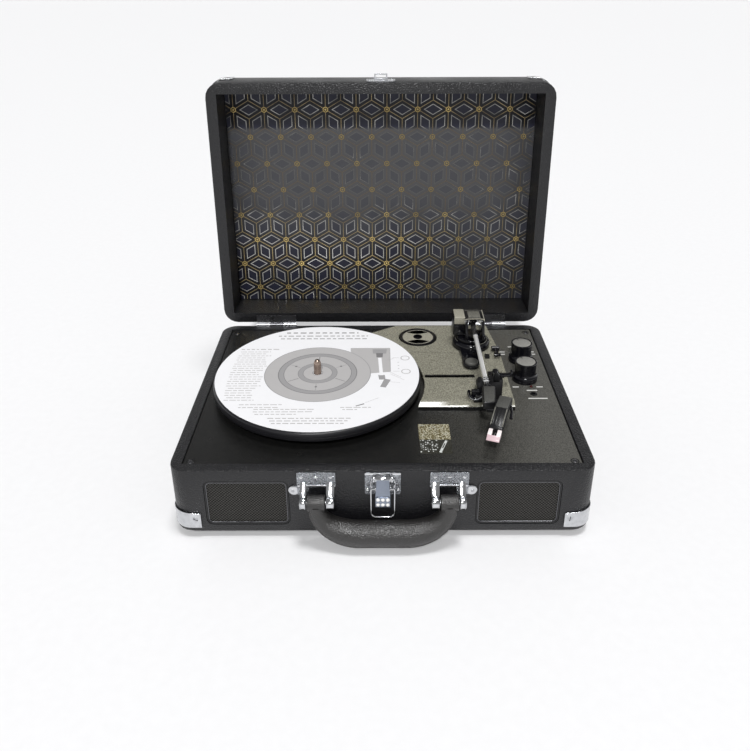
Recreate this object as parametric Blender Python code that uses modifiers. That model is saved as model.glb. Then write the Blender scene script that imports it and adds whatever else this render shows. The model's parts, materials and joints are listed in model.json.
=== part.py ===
"""A suitcase record player: a hinged case with a belt-driven deck, a tonearm and two speakers.

Every number is in millimetres until a helper turns it into metres. The modelling frame has x = 0 on
the middle of the case, y = 0 on the front face and z = 0 on the plane where the base meets the lid.
At the end the root empty moves the whole object onto the floor and centres it on its footprint.
"""

import math

import bmesh
import bpy
from mathutils import Matrix, Vector

MM = 0.001
GAP = 0.3  # between pieces that touch

# The case
CASE_W = 350.0
CASE_D = 260.0
BASE_H = 61.5
LID_H = 45.0
WALL = 10.0
FLOOR = 5.0
CORNER_R = 15.0
LID_GAP = 0.5
LID_OPEN = 92.0  # degrees
FOOT_H = 6.0
FOOT_R = 12.0
FOOT_INSET = (17.0, 19.0)
HINGE_X = 117.0
HINGE_W = 44.0
HINGE_Y = CASE_D + 2.7
HINGE_Z = -0.4
JACK_Z = -40.0

# The front hardware
GRILLE_X = (77.0, 147.0)
GRILLE_Z = (-55.0, -10.0)
HANDLE_PIVOT = (-10.0, -24.0)  # y, z
HANDLE_X = 54.0
GRIP_Y = -13.0
GRIP_Z = -53.2
LEVER_PIVOT = (-4.2, -5.0)
LOOP_PIVOT = (-5.4, -14.0)

# The deck
DECK_TOP = -0.8
DECK_T = 3.0
PLATEAU = 6.0
PLATTER = (-61.0, 128.0)
PLATTER_R = 98.0
PLATTER_TOP = 15.4
PLATTER_BOTTOM = 6.8
DRIVE_RING_R = 58.0
PULLEY_R = 5.0
PULLEY = (-61.0, 208.0)
ADAPTER = (39.0, 220.0)
ADAPTER_R = 19.3
VOLUME = (140.0, 144.0)
SOURCE = (142.5, 182.0)
LIGHT = (144.0, 130.0)
SOCKET = (144.0, 117.0)

# The tonearm
ARM_PIVOT = (93.5, 203.0)
PITCH_Y = 208.0
PITCH_Z = 32.0
TUBE_REAR = (94.0, 219.0, 32.0)
TUBE_FRONT = (93.2, 70.0, 30.0)
TUBE_R = 2.15
REST_Y = (91.0, 101.0)
CLIP_PIVOT = (103.0, 33.5)  # x, z
CUE_PAD = (89.0, 157.0)
CUE_LEVER = (117.0, 188.0, 9.5)
CARTRIDGE = (106.7, 59.8)
CARTRIDGE_TURN = 21.0  # degrees that it points inwards
SPEED_SWITCH = (116.0, 137.0)
STOP_SWITCH = (107.0, 175.0)

FINISHES = {  # base colour, roughness, metallic
    "leatherette": ((0.018, 0.018, 0.02), 0.55, 0.0),
    "deck": ((0.05, 0.048, 0.042), 0.42, 0.0),
    "black_plastic": ((0.015, 0.015, 0.017), 0.35, 0.0),
    "gloss_black": ((0.01, 0.01, 0.014), 0.12, 0.0),
    "mesh": ((0.02, 0.02, 0.02), 0.6, 0.3),
    "chrome": ((0.78, 0.79, 0.8), 0.14, 1.0),
    "steel": ((0.6, 0.61, 0.62), 0.3, 1.0),
    "rubber": ((0.02, 0.02, 0.02), 0.85, 0.0),
    "card": ((0.9, 0.9, 0.91), 0.6, 0.0),
    "lining": ((0.02, 0.02, 0.024), 0.35, 0.0),
    "knob_top": ((0.22, 0.22, 0.21), 0.35, 0.6),
    "pink": ((0.85, 0.7, 0.72), 0.4, 0.0),
    "board": ((0.05, 0.2, 0.1), 0.5, 0.0),
    "brass": ((0.7, 0.52, 0.25), 0.25, 1.0),
    "red_light": ((0.6, 0.05, 0.04), 0.2, 0.0),
    "paper_cone": ((0.05, 0.05, 0.05), 0.8, 0.0),
}

for old in list(bpy.data.objects):
    bpy.data.objects.remove(old, do_unlink=True)

parts = bpy.data.collections.new("suitcase_record_player")
cutters = bpy.data.collections.new("cutters")
bpy.context.scene.collection.children.link(parts)
bpy.context.scene.collection.children.link(cutters)
root = bpy.data.objects.new("case_frame", None)
parts.objects.link(root)


# ---------------------------------------------------------------- helpers

def add(name, mesh, at=(0.0, 0.0, 0.0)):
    """A new object on the root, at a point in millimetres."""
    made = bpy.data.objects.new(name, mesh)
    parts.objects.link(made)
    made.parent = root
    made.location = Vector(at) * MM
    return made


def finished(made, finish):
    """Gives a piece its own material and smooth shading, and returns it."""
    colour, roughness, metallic = FINISHES[finish]
    material = bpy.data.materials.new(made.name + "_finish")
    material.use_nodes = True
    shader = material.node_tree.nodes["Principled BSDF"]
    shader.inputs["Base Color"].default_value = (*colour, 1.0)
    shader.inputs["Roughness"].default_value = roughness
    shader.inputs["Metallic"].default_value = metallic
    made.data.materials.append(material)
    made.data.shade_smooth()
    made.data.set_sharp_from_angle(angle=math.radians(35))
    return made


def rounded(made, width, segments=2):
    bevel = made.modifiers.new("rounding", "BEVEL")
    bevel.width = width * MM
    bevel.segments = segments
    bevel.limit_method = "ANGLE"
    bevel.angle_limit = math.radians(40)
    return made


def combined(made, other, operation):
    """A Boolean with another object, which becomes a hidden helper."""
    other.hide_render = True
    other.display_type = "WIRE"
    parts.objects.unlink(other)
    cutters.objects.link(other)
    boolean = made.modifiers.new(other.name, "BOOLEAN")
    boolean.operation = operation
    boolean.object = other


def cut(made, *others):
    for other in others:
        combined(made, other, "DIFFERENCE")
    return made


def joined(made, *others):
    for other in others:
        combined(made, other, "UNION")
    return made


def block(name, low, high, rounding=0.0, segments=2):
    """A box between two corners."""
    size = Vector(high) - Vector(low)
    form = bmesh.new()
    bmesh.ops.create_cube(form, size=MM)
    bmesh.ops.scale(form, vec=size, verts=form.verts)
    mesh = bpy.data.meshes.new(name)
    form.to_mesh(mesh)
    form.free()
    made = add(name, mesh, Vector(low) + size / 2)
    return rounded(made, rounding, segments) if rounding else made


def turn_to(axis):
    """The rotation that takes +Z to the axis, with an outline's two directions on the other two."""
    columns = {
        "X": ((0, 1, 0), (0, 0, 1), (1, 0, 0)),
        "Y": ((1, 0, 0), (0, 0, 1), (0, -1, 0)),
        "Z": ((1, 0, 0), (0, 1, 0), (0, 0, 1)),
    }[axis]
    return Matrix(columns).transposed().to_4x4()


def cylinder(name, at, radius, length, axis="Z", sides=32, top_radius=None, rounding=0.0):
    """A cylinder or cone that starts at a point and runs length along the axis."""
    form = bmesh.new()
    top = radius if top_radius is None else top_radius
    bmesh.ops.create_cone(form, cap_ends=True, segments=sides, radius1=radius * MM,
                          radius2=top * MM, depth=length * MM)
    bmesh.ops.translate(form, vec=(0, 0, length * MM / 2), verts=form.verts)
    turn = {"X": Matrix.Rotation(math.pi / 2, 4, "Y"), "Y": Matrix.Rotation(-math.pi / 2, 4, "X"),
            "Z": Matrix.Identity(4)}[axis]
    bmesh.ops.transform(form, matrix=turn, verts=form.verts)
    mesh = bpy.data.meshes.new(name)
    form.to_mesh(mesh)
    form.free()
    made = add(name, mesh, at)
    return rounded(made, rounding) if rounding else made


def turned(name, profile, at, steps=48, axis="Z"):
    """A profile of (radius, height) points, from the top down its outer side, turned into a solid."""
    mesh = bpy.data.meshes.new(name)
    points = [(r * MM, 0.0, h * MM) for r, h in profile]
    mesh.from_pydata(points, [(n, n + 1) for n in range(len(points) - 1)], [])
    made = add(name, mesh, at)
    if axis == "Y":
        made.rotation_euler.x = math.pi / 2
    screw = made.modifiers.new("turning", "SCREW")
    screw.steps = steps
    screw.render_steps = steps
    screw.use_merge_vertices = True
    screw.merge_threshold = 0.00001
    return made


def meshed(curve, name, at=(0.0, 0.0, 0.0)):
    """A curve's own mesh, closed at its caps, as a new object."""
    guide = bpy.data.objects.new(name + "_guide", curve)
    parts.objects.link(guide)
    bpy.context.view_layer.update()
    mesh = bpy.data.meshes.new_from_object(guide.evaluated_get(bpy.context.evaluated_depsgraph_get()))
    bpy.data.objects.remove(guide)
    form = bmesh.new()
    form.from_mesh(mesh)
    bmesh.ops.remove_doubles(form, verts=form.verts, dist=0.000001)
    bmesh.ops.recalc_face_normals(form, faces=form.faces)
    form.to_mesh(mesh)
    form.free()
    return add(name, mesh, at)


def slab(name, outline, low, high, axis="Z", rounding=0.0, segments=2):
    """A flat outline given thickness from low to high along an axis. On X the outline is (y, z), on Y
    it is (x, z), and on Z it is (x, y)."""
    curve = bpy.data.curves.new(name, "CURVE")
    curve.dimensions = "2D"
    curve.fill_mode = "BOTH"
    curve.extrude = (high - low) / 2 * MM
    spline = curve.splines.new("POLY")
    spline.points.add(len(outline) - 1)
    for point, (u, v) in zip(spline.points, outline):
        point.co = (u * MM, v * MM, 0.0, 1.0)
    spline.use_cyclic_u = True
    middle = (low + high) / 2
    made = meshed(curve, name, {"X": (middle, 0, 0), "Y": (0, middle, 0), "Z": (0, 0, middle)}[axis])
    made.data.transform(turn_to(axis))
    return rounded(made, rounding, segments) if rounding else made


def rod(name, points, radius, sides=12, radii=None, closed=False):
    """A round bar along points, its caps filled."""
    curve = bpy.data.curves.new(name, "CURVE")
    curve.dimensions = "3D"
    curve.bevel_depth = radius * MM
    curve.bevel_resolution = sides // 4 - 1
    curve.use_fill_caps = not closed
    spline = curve.splines.new("POLY")
    spline.points.add(len(points) - 1)
    spline.use_cyclic_u = closed
    for n, (x, y, z) in enumerate(points):
        spline.points[n].co = (x * MM, y * MM, z * MM, 1.0)
        if radii:
            spline.points[n].radius = radii[n] / radius
    return meshed(curve, name)


def arc(centre, radius, start, end, steps):
    """Points round a centre from one angle to another, in degrees."""
    angles = [math.radians(start + (end - start) * n / steps) for n in range(steps + 1)]
    return [(centre[0] + radius * math.cos(a), centre[1] + radius * math.sin(a)) for a in angles]


def rounded_rectangle(x0, x1, y0, y1, radius, steps=5):
    middles = [(x1 - radius, y1 - radius), (x0 + radius, y1 - radius),
               (x0 + radius, y0 + radius), (x1 - radius, y0 + radius)]
    outline = []
    for n, middle in enumerate(middles):
        outline += arc(middle, radius, 90 * n, 90 * n + 90, steps)
    return outline


def pivot(name, at, parent=None):
    """An empty on a joint's axis."""
    made = bpy.data.objects.new(name, None)
    made.empty_display_size = 0.01
    parts.objects.link(made)
    attach_to(parent or root, made, Vector(at) * MM)
    return made


def attach_to(parent, child, place=None):
    bpy.context.view_layer.update()
    if place is not None:
        child.location = place
    child.parent = parent
    child.matrix_parent_inverse = parent.matrix_world.inverted()


def attach(parent, *pieces):
    """Pieces, with the helpers that shape them, move with the parent from where they are."""
    for piece in pieces:
        for modifier in piece.modifiers:
            if modifier.type == "BOOLEAN":
                attach(parent, modifier.object)
        attach_to(parent, piece)


# ---------------------------------------------------------------- the base

def base_case():
    half = CASE_W / 2
    case = slab("base_case", rounded_rectangle(-half, half, 0, CASE_D, CORNER_R), -BASE_H, 0, rounding=1.6)
    ledge = 4.0
    recess = block("deck_recess", (WALL - half, WALL, DECK_TOP - DECK_T - GAP),
                   (half - WALL, CASE_D - WALL, 5))
    inset = WALL + ledge
    hollow = block("base_hollow", (inset - half, inset, FLOOR - BASE_H), (half - inset, CASE_D - inset, 4))
    cut(case, recess, hollow)
    for side in (-1, 1):
        x0, x1 = sorted((side * GRILLE_X[0], side * GRILLE_X[1]))
        opening = rounded_rectangle(x0, x1, *GRILLE_Z, 6)
        cut(case, slab(f"grille_opening_{side}", opening, -5, inset + 5, axis="Y"))
    cut(case, block("jack_opening", (70, CASE_D - 20, JACK_Z - 10.5), (130, CASE_D + 5, JACK_Z + 10.5)))
    finished(case, "leatherette")


def grille(name, side):
    x0, x1 = sorted((side * (GRILLE_X[0] + GAP), side * (GRILLE_X[1] - GAP)))
    z0, z1 = GRILLE_Z[0] + GAP, GRILLE_Z[1] - GAP
    panel = slab(name, rounded_rectangle(x0, x1, z0, z1, 5.7), 0.2, 2.6, axis="Y")
    inside = rounded_rectangle(x0 + 1.6, x1 - 1.6, z0 + 1.6, z1 - 1.6, 4.1)
    cut(panel, slab(name + "_dish", inside, -2, 1.2, axis="Y"))
    finished(panel, "mesh")


def speaker(name, side):
    profile = [(0, -7), (6, -8.5), (18, -1.5), (20, 0), (22, 0), (22, -2), (20, -3),
               (13, -14), (13, -22), (0, -22)]
    middle = (GRILLE_Z[0] + GRILLE_Z[1]) / 2
    finished(turned(name, profile, (side * sum(GRILLE_X) / 2, 15, middle), steps=20, axis="Y"),
             "paper_cone")


def corner_shell(name, side, back, low, high, crest):
    """A metal cap round one upright corner of the case. One edge is level and the other rises from its
    two ends to a crest at the corner, which lies beyond the level edge's opposite."""
    thickness = 0.8
    reach = 8.5
    stand_off = GAP + thickness / 2
    half = CASE_W / 2
    bend = arc((half - CORNER_R, CORNER_R), CORNER_R + stand_off, -90, 0, 10)
    path = [(half - CORNER_R - reach, -stand_off), (half - CORNER_R - reach / 2, -stand_off)] + bend
    path += [(half + stand_off, CORNER_R + reach / 2), (half + stand_off, CORNER_R + reach)]
    form = bmesh.new()
    columns = []
    for n, (x, y) in enumerate(path):
        swell = math.sin(math.pi * n / (len(path) - 1)) ** 0.8
        edge = high + (crest - high) * swell
        y = CASE_D - y if back else y
        columns.append([form.verts.new((side * x * MM, y * MM, z * MM)) for z in (low, edge)])
    for a, b in zip(columns, columns[1:]):
        form.faces.new((a[0], b[0], b[1], a[1]))
    mesh = bpy.data.meshes.new(name)
    form.to_mesh(mesh)
    form.free()
    shell = add(name, mesh)
    skin = shell.modifiers.new("thickness", "SOLIDIFY")
    skin.thickness = thickness * MM
    skin.offset = 0
    return finished(shell, "chrome")


def foot(name, side, y):
    x = side * (CASE_W / 2 - FOOT_INSET[0])
    top = -BASE_H - GAP
    profile = [(0, 0), (FOOT_R, 0), (FOOT_R, -3.5), (FOOT_R - 1.5, GAP - FOOT_H), (0, GAP - FOOT_H)]
    finished(turned(name, profile, (x, y, top), steps=20), "rubber")


def jack_plate():
    back = CASE_D + GAP
    z = JACK_Z
    plate = block("rear_jack_plate", (66, back, z - 14), (134, back + 1.5, z + 14), rounding=0.5)
    body = block("jack_body", (73, CASE_D - 12, z - 9), (127, back + 0.5, z + 9))
    joined(plate, body)
    for x in (82, 93):
        joined(plate, cylinder(f"phono_socket_{x}", (x, back + 0.5, z), 4.2, 9, axis="Y", sides=20))
        cut(plate, cylinder(f"phono_hole_{x}", (x, back + 1, z), 1.6, 12, axis="Y", sides=12))
    cut(plate, cylinder("power_inlet_hole", (118, CASE_D - 9, z), 2.8, 20, axis="Y", sides=20))
    joined(plate, cylinder("power_inlet_pin", (118, CASE_D - 10, z), 1.0, 10, axis="Y", sides=12))
    cut(plate, cylinder("line_in_hole", (106, CASE_D - 9, z), 1.8, 20, axis="Y", sides=16))
    finished(plate, "black_plastic")


def main_board():
    board = block("main_board", (-52, 48, -54), (58, 118, -52.4))
    chips = [((-40, 60, -53), (-22, 78, -48)), ((0, 66, -53), (14, 80, -50)), ((30, 58, -53), (50, 70, -44)),
             ((-44, 96, -53), (-10, 108, -42))]
    for n, (low, high) in enumerate(chips):
        joined(board, block(f"component_{n}", low, high))
    for x in (-46, 52):
        for y in (54, 112):
            joined(board, cylinder(f"standoff_{x}_{y}", (x, y, FLOOR - BASE_H + GAP), 2.5, 3, sides=12))
    finished(board, "board")


def control_board():
    board = block("control_board", (126, 103, -18), (158, 196, -16.4))
    for name, (x, y) in (("volume_pot", VOLUME), ("source_pot", SOURCE)):
        joined(board, cylinder(name, (x, y, -17), 8, 11, sides=20))
        joined(board, cylinder(name + "_shaft", (x, y, -8), 3, 20, sides=16))
    finished(board, "board")


def latch_plate():
    plate = slab("latch_plate", rounded_rectangle(-14.7, 14.7, -22.6, -0.8, 2), -1.3, -GAP, axis="Y")
    for side in (-1, 1):
        x0, x1 = sorted((side * 6.7, side * 8.1))
        ear = [(-0.9, -1.4), (-0.9, -13)] + arc(LEVER_PIVOT, 3.0, 270, 100, 6)
        joined(plate, slab(f"lever_ear_{side}", ear, x0, x1, axis="X"))
    joined(plate, cylinder("lever_pin", (-8.0, *LEVER_PIVOT), 1.1, 16, axis="X", sides=12))
    finished(plate, "chrome")


def latch_lever(lever_pivot):
    lever = cylinder("latch_lever", (-6.3, *LEVER_PIVOT), 2.6, 12.6, axis="X", sides=20)
    tail = [(-5.9, -5), (-6.2, -18), (-6.9, -30.6), (-7.9, -31), (-7.5, -18), (-6.8, -4)]
    joined(lever, slab("lever_tail", tail, -6.2, 6.2, axis="X"))
    joined(lever, cylinder("loop_barrel", (-6.1, *LOOP_PIVOT), 1.9, 12.2, axis="X", sides=16))
    cut(lever, cylinder("lever_bore", (-9, *LEVER_PIVOT), 1.5, 18, axis="X", sides=16))
    cut(lever, cylinder("loop_bore", (-9, *LOOP_PIVOT), 1.15, 18, axis="X", sides=12))
    attach(lever_pivot, finished(lever, "chrome"))


def latch_loop(loop_pivot):
    y, z = LOOP_PIVOT
    wide, wire = 9.6, 0.8
    bottom = z - 27.5
    bend = arc((wide - 4.5, bottom + 4.5), 4.5, 0, -90, 5)
    side = [(2.5, y, z), (wide, y, z)] + [(x, y + (z - h) * -0.04, h) for x, h in bend]
    points = side + [(-x, across, h) for x, across, h in reversed(side)]
    attach(loop_pivot, finished(rod("latch_loop", points, wire, sides=8), "chrome"))


def handle_bracket(name, side):
    y, z = HANDLE_PIVOT

    def span(a, b):
        return sorted((side * a, side * b))

    x0, x1 = span(38.3, 70)
    plate = slab(name, rounded_rectangle(x0, x1, -15.3, -0.6, 1), -1.5, -GAP, axis="Y")
    for n, (a, b) in enumerate(((39.3, 46.0), (62.0, 67.5))):
        lug = [(-0.6, -9)] + arc((y, z), 4.3, 60, 270, 8) + [(-0.6, z - 4.3)]
        joined(plate, slab(f"{name}_lug_{n}", lug, *span(a, b), axis="X"))
    x0, x1 = span(60, 72.5)
    joined(plate, block(name + "_arm", (x0, -1.5, -22.5), (x1, -GAP, -14)))
    joined(plate, cylinder(name + "_ear", (side * 72.5, -1.5, -18.6), 4.6, 1.2, axis="Y", sides=20))
    x0, x1 = span(40, 67)
    joined(plate, cylinder(name + "_pin", (x0, y, z), 2.2, x1 - x0, axis="X", sides=16))
    finished(plate, "chrome")


def handle(handle_pivot):
    y, z = HANDLE_PIVOT
    steps = 8
    right = [(HANDLE_X, y, z - 1, 7.2)]
    for n in range(steps + 1):
        turn = math.radians(90 * n / steps)
        lean = (1 - math.cos(turn)) * (GRIP_Y - y)
        swell = math.sin(turn) ** 2
        right.append((22 + 32 * math.cos(turn), y + lean, -28 + (GRIP_Z + 28) * math.sin(turn),
                      7.2 + 3.8 * swell))
    right.append((10, GRIP_Y, GRIP_Z, 11))
    path = right + [(-x, across, h, r) for x, across, h, r in reversed(right)]
    grip = rod("handle", [p[:3] for p in path], 7.2, sides=12, radii=[p[3] for p in path])
    for side in (-1, 1):
        x0 = min(side * 46.5, side * 61.5)
        joined(grip, cylinder(f"handle_end_{side}", (x0, y, z), 6.6, 15, axis="X", sides=24))
    for side in (-1, 1):
        x0 = min(side * 40, side * 68)
        cut(grip, cylinder(f"handle_bore_{side}", (x0, y, z), 2.6, 28, axis="X", sides=20))
    attach(handle_pivot, finished(grip, "leatherette"))


# ---------------------------------------------------------------- the deck

def deck_plate():
    half = CASE_W / 2 - WALL - GAP
    deck = block("deck_plate", (-half, WALL + GAP, DECK_TOP - DECK_T), (half, CASE_D - WALL - GAP, DECK_TOP))
    outline = [(20, 85), (121.5, 85), (121.5, 186), (115, 247), (17, 247), (-33, 216), (-20, 150)]
    raised = slab("plateau", outline, DECK_TOP - 1, PLATEAU)
    slope = [(88, DECK_TOP - 1.6), (88.7, 3.2), (93.5, PLATEAU), (94, PLATEAU + 3), (80, PLATEAU + 3),
             (80, DECK_TOP - 1.6)]
    cut(raised, cylinder("platter_well", (*PLATTER, -5), PLATTER_R + 4, 20, sides=72),
        slab("front_slope", slope, 0, 140, axis="X"),
        block("wide_groove", (10, 137.4, PLATEAU - 2.4), (84, 139.9, PLATEAU + 2)),
        block("fine_groove", (10, 185.7, PLATEAU - 0.6), (76, 186.4, PLATEAU + 2)))
    joined(deck, raised)
    cut(deck, cylinder("adapter_recess", (*ADAPTER, PLATEAU - 3.4), ADAPTER_R + 1, 8, sides=36))
    holes = [(PLATTER, 6.4), (PULLEY, 3.2), (VOLUME, 3.5), (SOURCE, 3.5), (LIGHT, 1.8), (SOCKET, 3.4),
             (CUE_PAD, 3.0)]
    for n, (at, radius) in enumerate(holes):
        cut(deck, cylinder(f"deck_hole_{n}", (*at, -9), radius, 20, sides=20))
    for name, (x, y), travel in (("speed_slot", SPEED_SWITCH, 8), ("stop_slot", STOP_SWITCH, 6)):
        cut(deck, block(name, (x - 1.4, y - 2, -9), (x + 1.4, y + travel + 2, 9)))
    finished(deck, "deck")


def bearing_bush():
    flange = GAP - 0.6
    bush = turned("bearing_bush", [(0, 1.6), (8.5, 1.6), (8.5, flange), (6, flange), (6, -20), (0, -20)],
                  (*PLATTER, 0), steps=20)
    cut(bush, cylinder("bush_bore", (*PLATTER, -18), 3.25, 30, sides=20))
    finished(bush, "brass")


def motor_and_belt(pulley_pivot):
    motor = cylinder("motor", (*PULLEY, -30), 15, 25.8, sides=28)
    joined(motor, cylinder("motor_shaft", (*PULLEY, -5), 1, 15.5, sides=12))
    finished(motor, "steel")
    profile = [(0, 12), (6, 12), (6, 11.3), (PULLEY_R, 10.9), (PULLEY_R, 6.1), (6, 5.7), (6, 5), (0, 5)]
    wheel = turned("motor_pulley", profile, (*PULLEY, 0), steps=16)
    cut(wheel, cylinder("pulley_bore", (*PULLEY, 0), 1.35, 20, sides=16))
    attach(pulley_pivot, finished(wheel, "brass"))
    far, near = DRIVE_RING_R + 2.8, PULLEY_R + GAP
    wrap = math.degrees(math.asin((far - near) / (PULLEY[1] - PLATTER[1])))

    def loop(grow):
        return (arc(PULLEY, near + grow, wrap, 180 - wrap, 8)
                + arc(PLATTER, far + grow, 180 - wrap, 360 + wrap, 32))

    belt = slab("drive_belt", loop(0.8), 6.4, 10.6)
    cut(belt, slab("belt_inside", loop(0), 0, 20))
    finished(belt, "rubber")


def platter(platter_pivot):
    r, ring = PLATTER_R, DRIVE_RING_R
    top, bottom = PLATTER_TOP, PLATTER_BOTTOM
    under = top - 2.8
    profile = [(0, top), (r - 3.5, top), (r - 1.2, top - 0.4), (r, top - 1.5), (r, bottom + 1),
               (r - 1, bottom), (r - 3.5, bottom), (r - 3.5, under), (ring + 2.5, under), (ring + 2.5, 5.5),
               (ring, 5.5), (ring, under), (14, under), (14, 2.6), (0, 2.6)]
    plate = turned("platter", profile, (*PLATTER, 0), steps=56)
    cut(plate, cylinder("platter_bore", (*PLATTER, 0), 3.8, 30, sides=28))
    card = cylinder("card_disc", (*PLATTER, top + GAP), r - 1.5, 0.5, sides=56)
    cut(card, cylinder("card_hole", (*PLATTER, top - 2), 3.9, 10, sides=28))
    spindle = turned("spindle", [(0, 31), (1.6, 30.6), (3.0, 28.8), (3.5, 26.5), (3.5, 3), (3, 2.4),
                                 (3, -16), (0, -16)], (*PLATTER, 0), steps=16)
    attach(platter_pivot, finished(plate, "black_plastic"), finished(card, "card"),
           finished(spindle, "brass"))


def knob(name, at, knob_pivot):
    bottom = DECK_TOP + 0.4
    profile = [(0, 20), (9.9, 20), (10.7, 19.3), (10.3, 16.5), (10.2, 6), (11, 5), (12.2, 4.2),
               (12.2, bottom), (0, bottom)]
    turn = turned(name, profile, (*at, 0), steps=24)
    cut(turn, cylinder(name + "_bore", (*at, -3), 3.35, 16, sides=20))
    attach(knob_pivot, finished(turn, "knob_top"))


def light_and_socket():
    lens = [(0, 0.5), (0.9, 0.2), (1.4, -0.7), (1.4, -8), (0, -8)]
    finished(turned("power_led", lens, (*LIGHT, 0), steps=16), "red_light")
    x, y = SOCKET
    jack = block("headphone_jack", (x - 5, y - 6, -15.5), (x + 5, y + 6, DECK_TOP - DECK_T - GAP))
    joined(jack, cylinder("jack_collar", (x, y, -6), 3.1, 5.6, sides=20))
    cut(jack, cylinder("jack_bore", (x, y, -13), 1.75, 20, sides=16))
    finished(jack, "black_plastic")


def adapter(adapter_pivot):
    bottom = PLATEAU - 3.4 + GAP
    disc = turned("adapter_45", [(0, 7), (7, 7), (9, 6.4), (16.5, 6.4), (17.5, 7), (ADAPTER_R - 0.6, 7),
                                 (ADAPTER_R, 6.4), (ADAPTER_R, bottom), (0, bottom)], (*ADAPTER, 0), steps=28)
    cut(disc, cylinder("adapter_bore", (*ADAPTER, 0), 3.65, 20, sides=20))
    attach(adapter_pivot, finished(disc, "black_plastic"))


def slide_switch(name, at, slide_pivot):
    x, y = at
    button = block(name, (x - 2.4, y - 2.6, PLATEAU + GAP), (x + 2.4, y + 2.6, PLATEAU + 3), rounding=0.5)
    joined(button, block(name + "_stem", (x - 1, y - 1.5, -6), (x + 1, y + 1.5, PLATEAU + 1)))
    attach(slide_pivot, finished(button, "black_plastic"))


# ---------------------------------------------------------------- the tonearm

def tonearm_base():
    x, y = ARM_PIVOT
    base = turned("tonearm_base", [(0, 14), (16.5, 14), (18.6, 12.6), (19.4, 10), (19.4, PLATEAU + GAP),
                                   (0, PLATEAU + GAP)], (x, y, 0), steps=40)
    nose = [(x - 14, y - 10), (CUE_PAD[0] - 7.6, CUE_PAD[1] + 12)] \
        + arc((CUE_PAD[0], CUE_PAD[1] + 2), 8.4, 180, 360, 10) + [(x + 12, y - 12)]
    joined(base, slab("arm_nose", nose, PLATEAU + GAP, 10.5))
    cut(base, cylinder("cue_hole", (*CUE_PAD, 0), 7.2, 20, sides=28))
    finished(base, "gloss_black")


def cue_lift(pad_pivot, lever_pivot):
    pad = turned("cue_pad", [(0, 13), (5.6, 13), (6.5, 12.2), (6.5, 8.5), (2.4, 8), (2.4, -7), (0, -7)],
                 (*CUE_PAD, 0), steps=24)
    attach(pad_pivot, finished(pad, "rubber"))
    x, y, z = CUE_LEVER
    lever = cylinder("cue_lever", (x - 4, y, z), 2.6, 8, axis="X", sides=20)
    joined(lever, block("cue_lever_arm", (x - 1.6, y - 14, z - 1), (x + 1.6, y, z + 1.2), rounding=0.4),
           block("cue_lever_tip", (x - 3.4, y - 16, z - 1), (x + 3.4, y - 12.5, z + 1.6), rounding=0.4))
    attach(lever_pivot, finished(lever, "black_plastic"))


def arm_rest(clip_pivot):
    y0, y1 = REST_Y
    bottom = PLATEAU + GAP
    outline = [(84, bottom), (109, bottom), (109, 30), (98.6, 30), (98.2, 28.4), (96.4, 26.8), (90.8, 26.8),
               (89.8, 27.6), (87.6, 27.6), (85.5, 24), (86.5, 18), (84, 12)]
    rest = slab("arm_rest", outline, y0, y1, axis="Y", rounding=0.5, segments=1)
    joined(rest, slab("rest_block", [(99, bottom), (109, bottom), (109, 22), (99, 22)], y1 - 1, y1 + 20,
                      axis="Y", rounding=0.6))
    hook = [(x, y0 - 5, z) for x, z in arc((84, 20), 6.0, 20, -200, 12)]
    joined(rest, rod("rest_hook", hook, 1.6, sides=8),
           block("hook_neck", (84, y0 - 6.2, 12.2), (89, y0 + 1, 17), rounding=0.4))
    x, z = CLIP_PIVOT
    for n, y in enumerate((y0, y1 - 2.4)):
        ear = [(x - 3, 28)] + [(x + 3, 28)] + arc((x, z), 3, 0, 180, 8)
        joined(rest, slab(f"clip_ear_{n}", ear, y, y + 2.4, axis="Y"))
    joined(rest, cylinder("clip_pin", (x, y0 + 1, z), 1.0, y1 - y0 - 2, axis="Y", sides=12))
    finished(rest, "gloss_black")

    clip = cylinder("arm_clip", (x, y0 + 2.8, z), 2.4, y1 - y0 - 5.6, axis="Y", sides=16)
    hooked = [(x, z - 2), (x + 14.8, z - 2), (x + 14.8, z + 3.4), (x + 13, z + 3.4), (x + 13, z), (x, z)]
    joined(clip, slab("clip_arm", hooked, y0 + 2.8, y1 - 2.8, axis="Y"))
    cut(clip, cylinder("clip_bore", (x, y0, z), 1.4, 20, axis="Y", sides=12))
    attach(clip_pivot, finished(clip, "black_plastic"))


def arm_yoke(yaw_pivot):
    x, y = ARM_PIVOT
    disc = [(0, 17.6), (14, 17.6), (15, 16.8), (15, 14.4), (0, 14.4)]
    yoke = turned("arm_yoke", disc, (x, y, 0), steps=36)
    left, right = x - 7.4, x + 12.0
    front, back = y - 8, y + 17
    for name, a in (("left_cheek", left), ("right_cheek", right - 2.6)):
        cheek = [(front - 3, 16), (front + 3, 15), (back - 5, 15), (back, 24), (back, 37.6), (front + 1, 37.6),
                 (front - 6, 24), (front - 6, 18)]
        joined(yoke, slab(name, cheek, a, a + 2.6, axis="X"))
    joined(yoke,
           block("yoke_top", (left - 0.3, front + 2.5, 37.0), (right + 0.3, back - 2, 38.8), rounding=0.6),
           cylinder("pitch_pin_left", (left + 1, PITCH_Y, PITCH_Z), 1.1, 3.6, axis="X", sides=12),
           cylinder("pitch_pin_right", (right - 4.6, PITCH_Y, PITCH_Z), 1.1, 3.6, axis="X", sides=12),
           block("counterweight", (left - 11.6, y - 2.3, 18.2), (left + 0.9, y + 18, 39.0), rounding=0.8))
    attach(yaw_pivot, finished(yoke, "black_plastic"))


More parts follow.
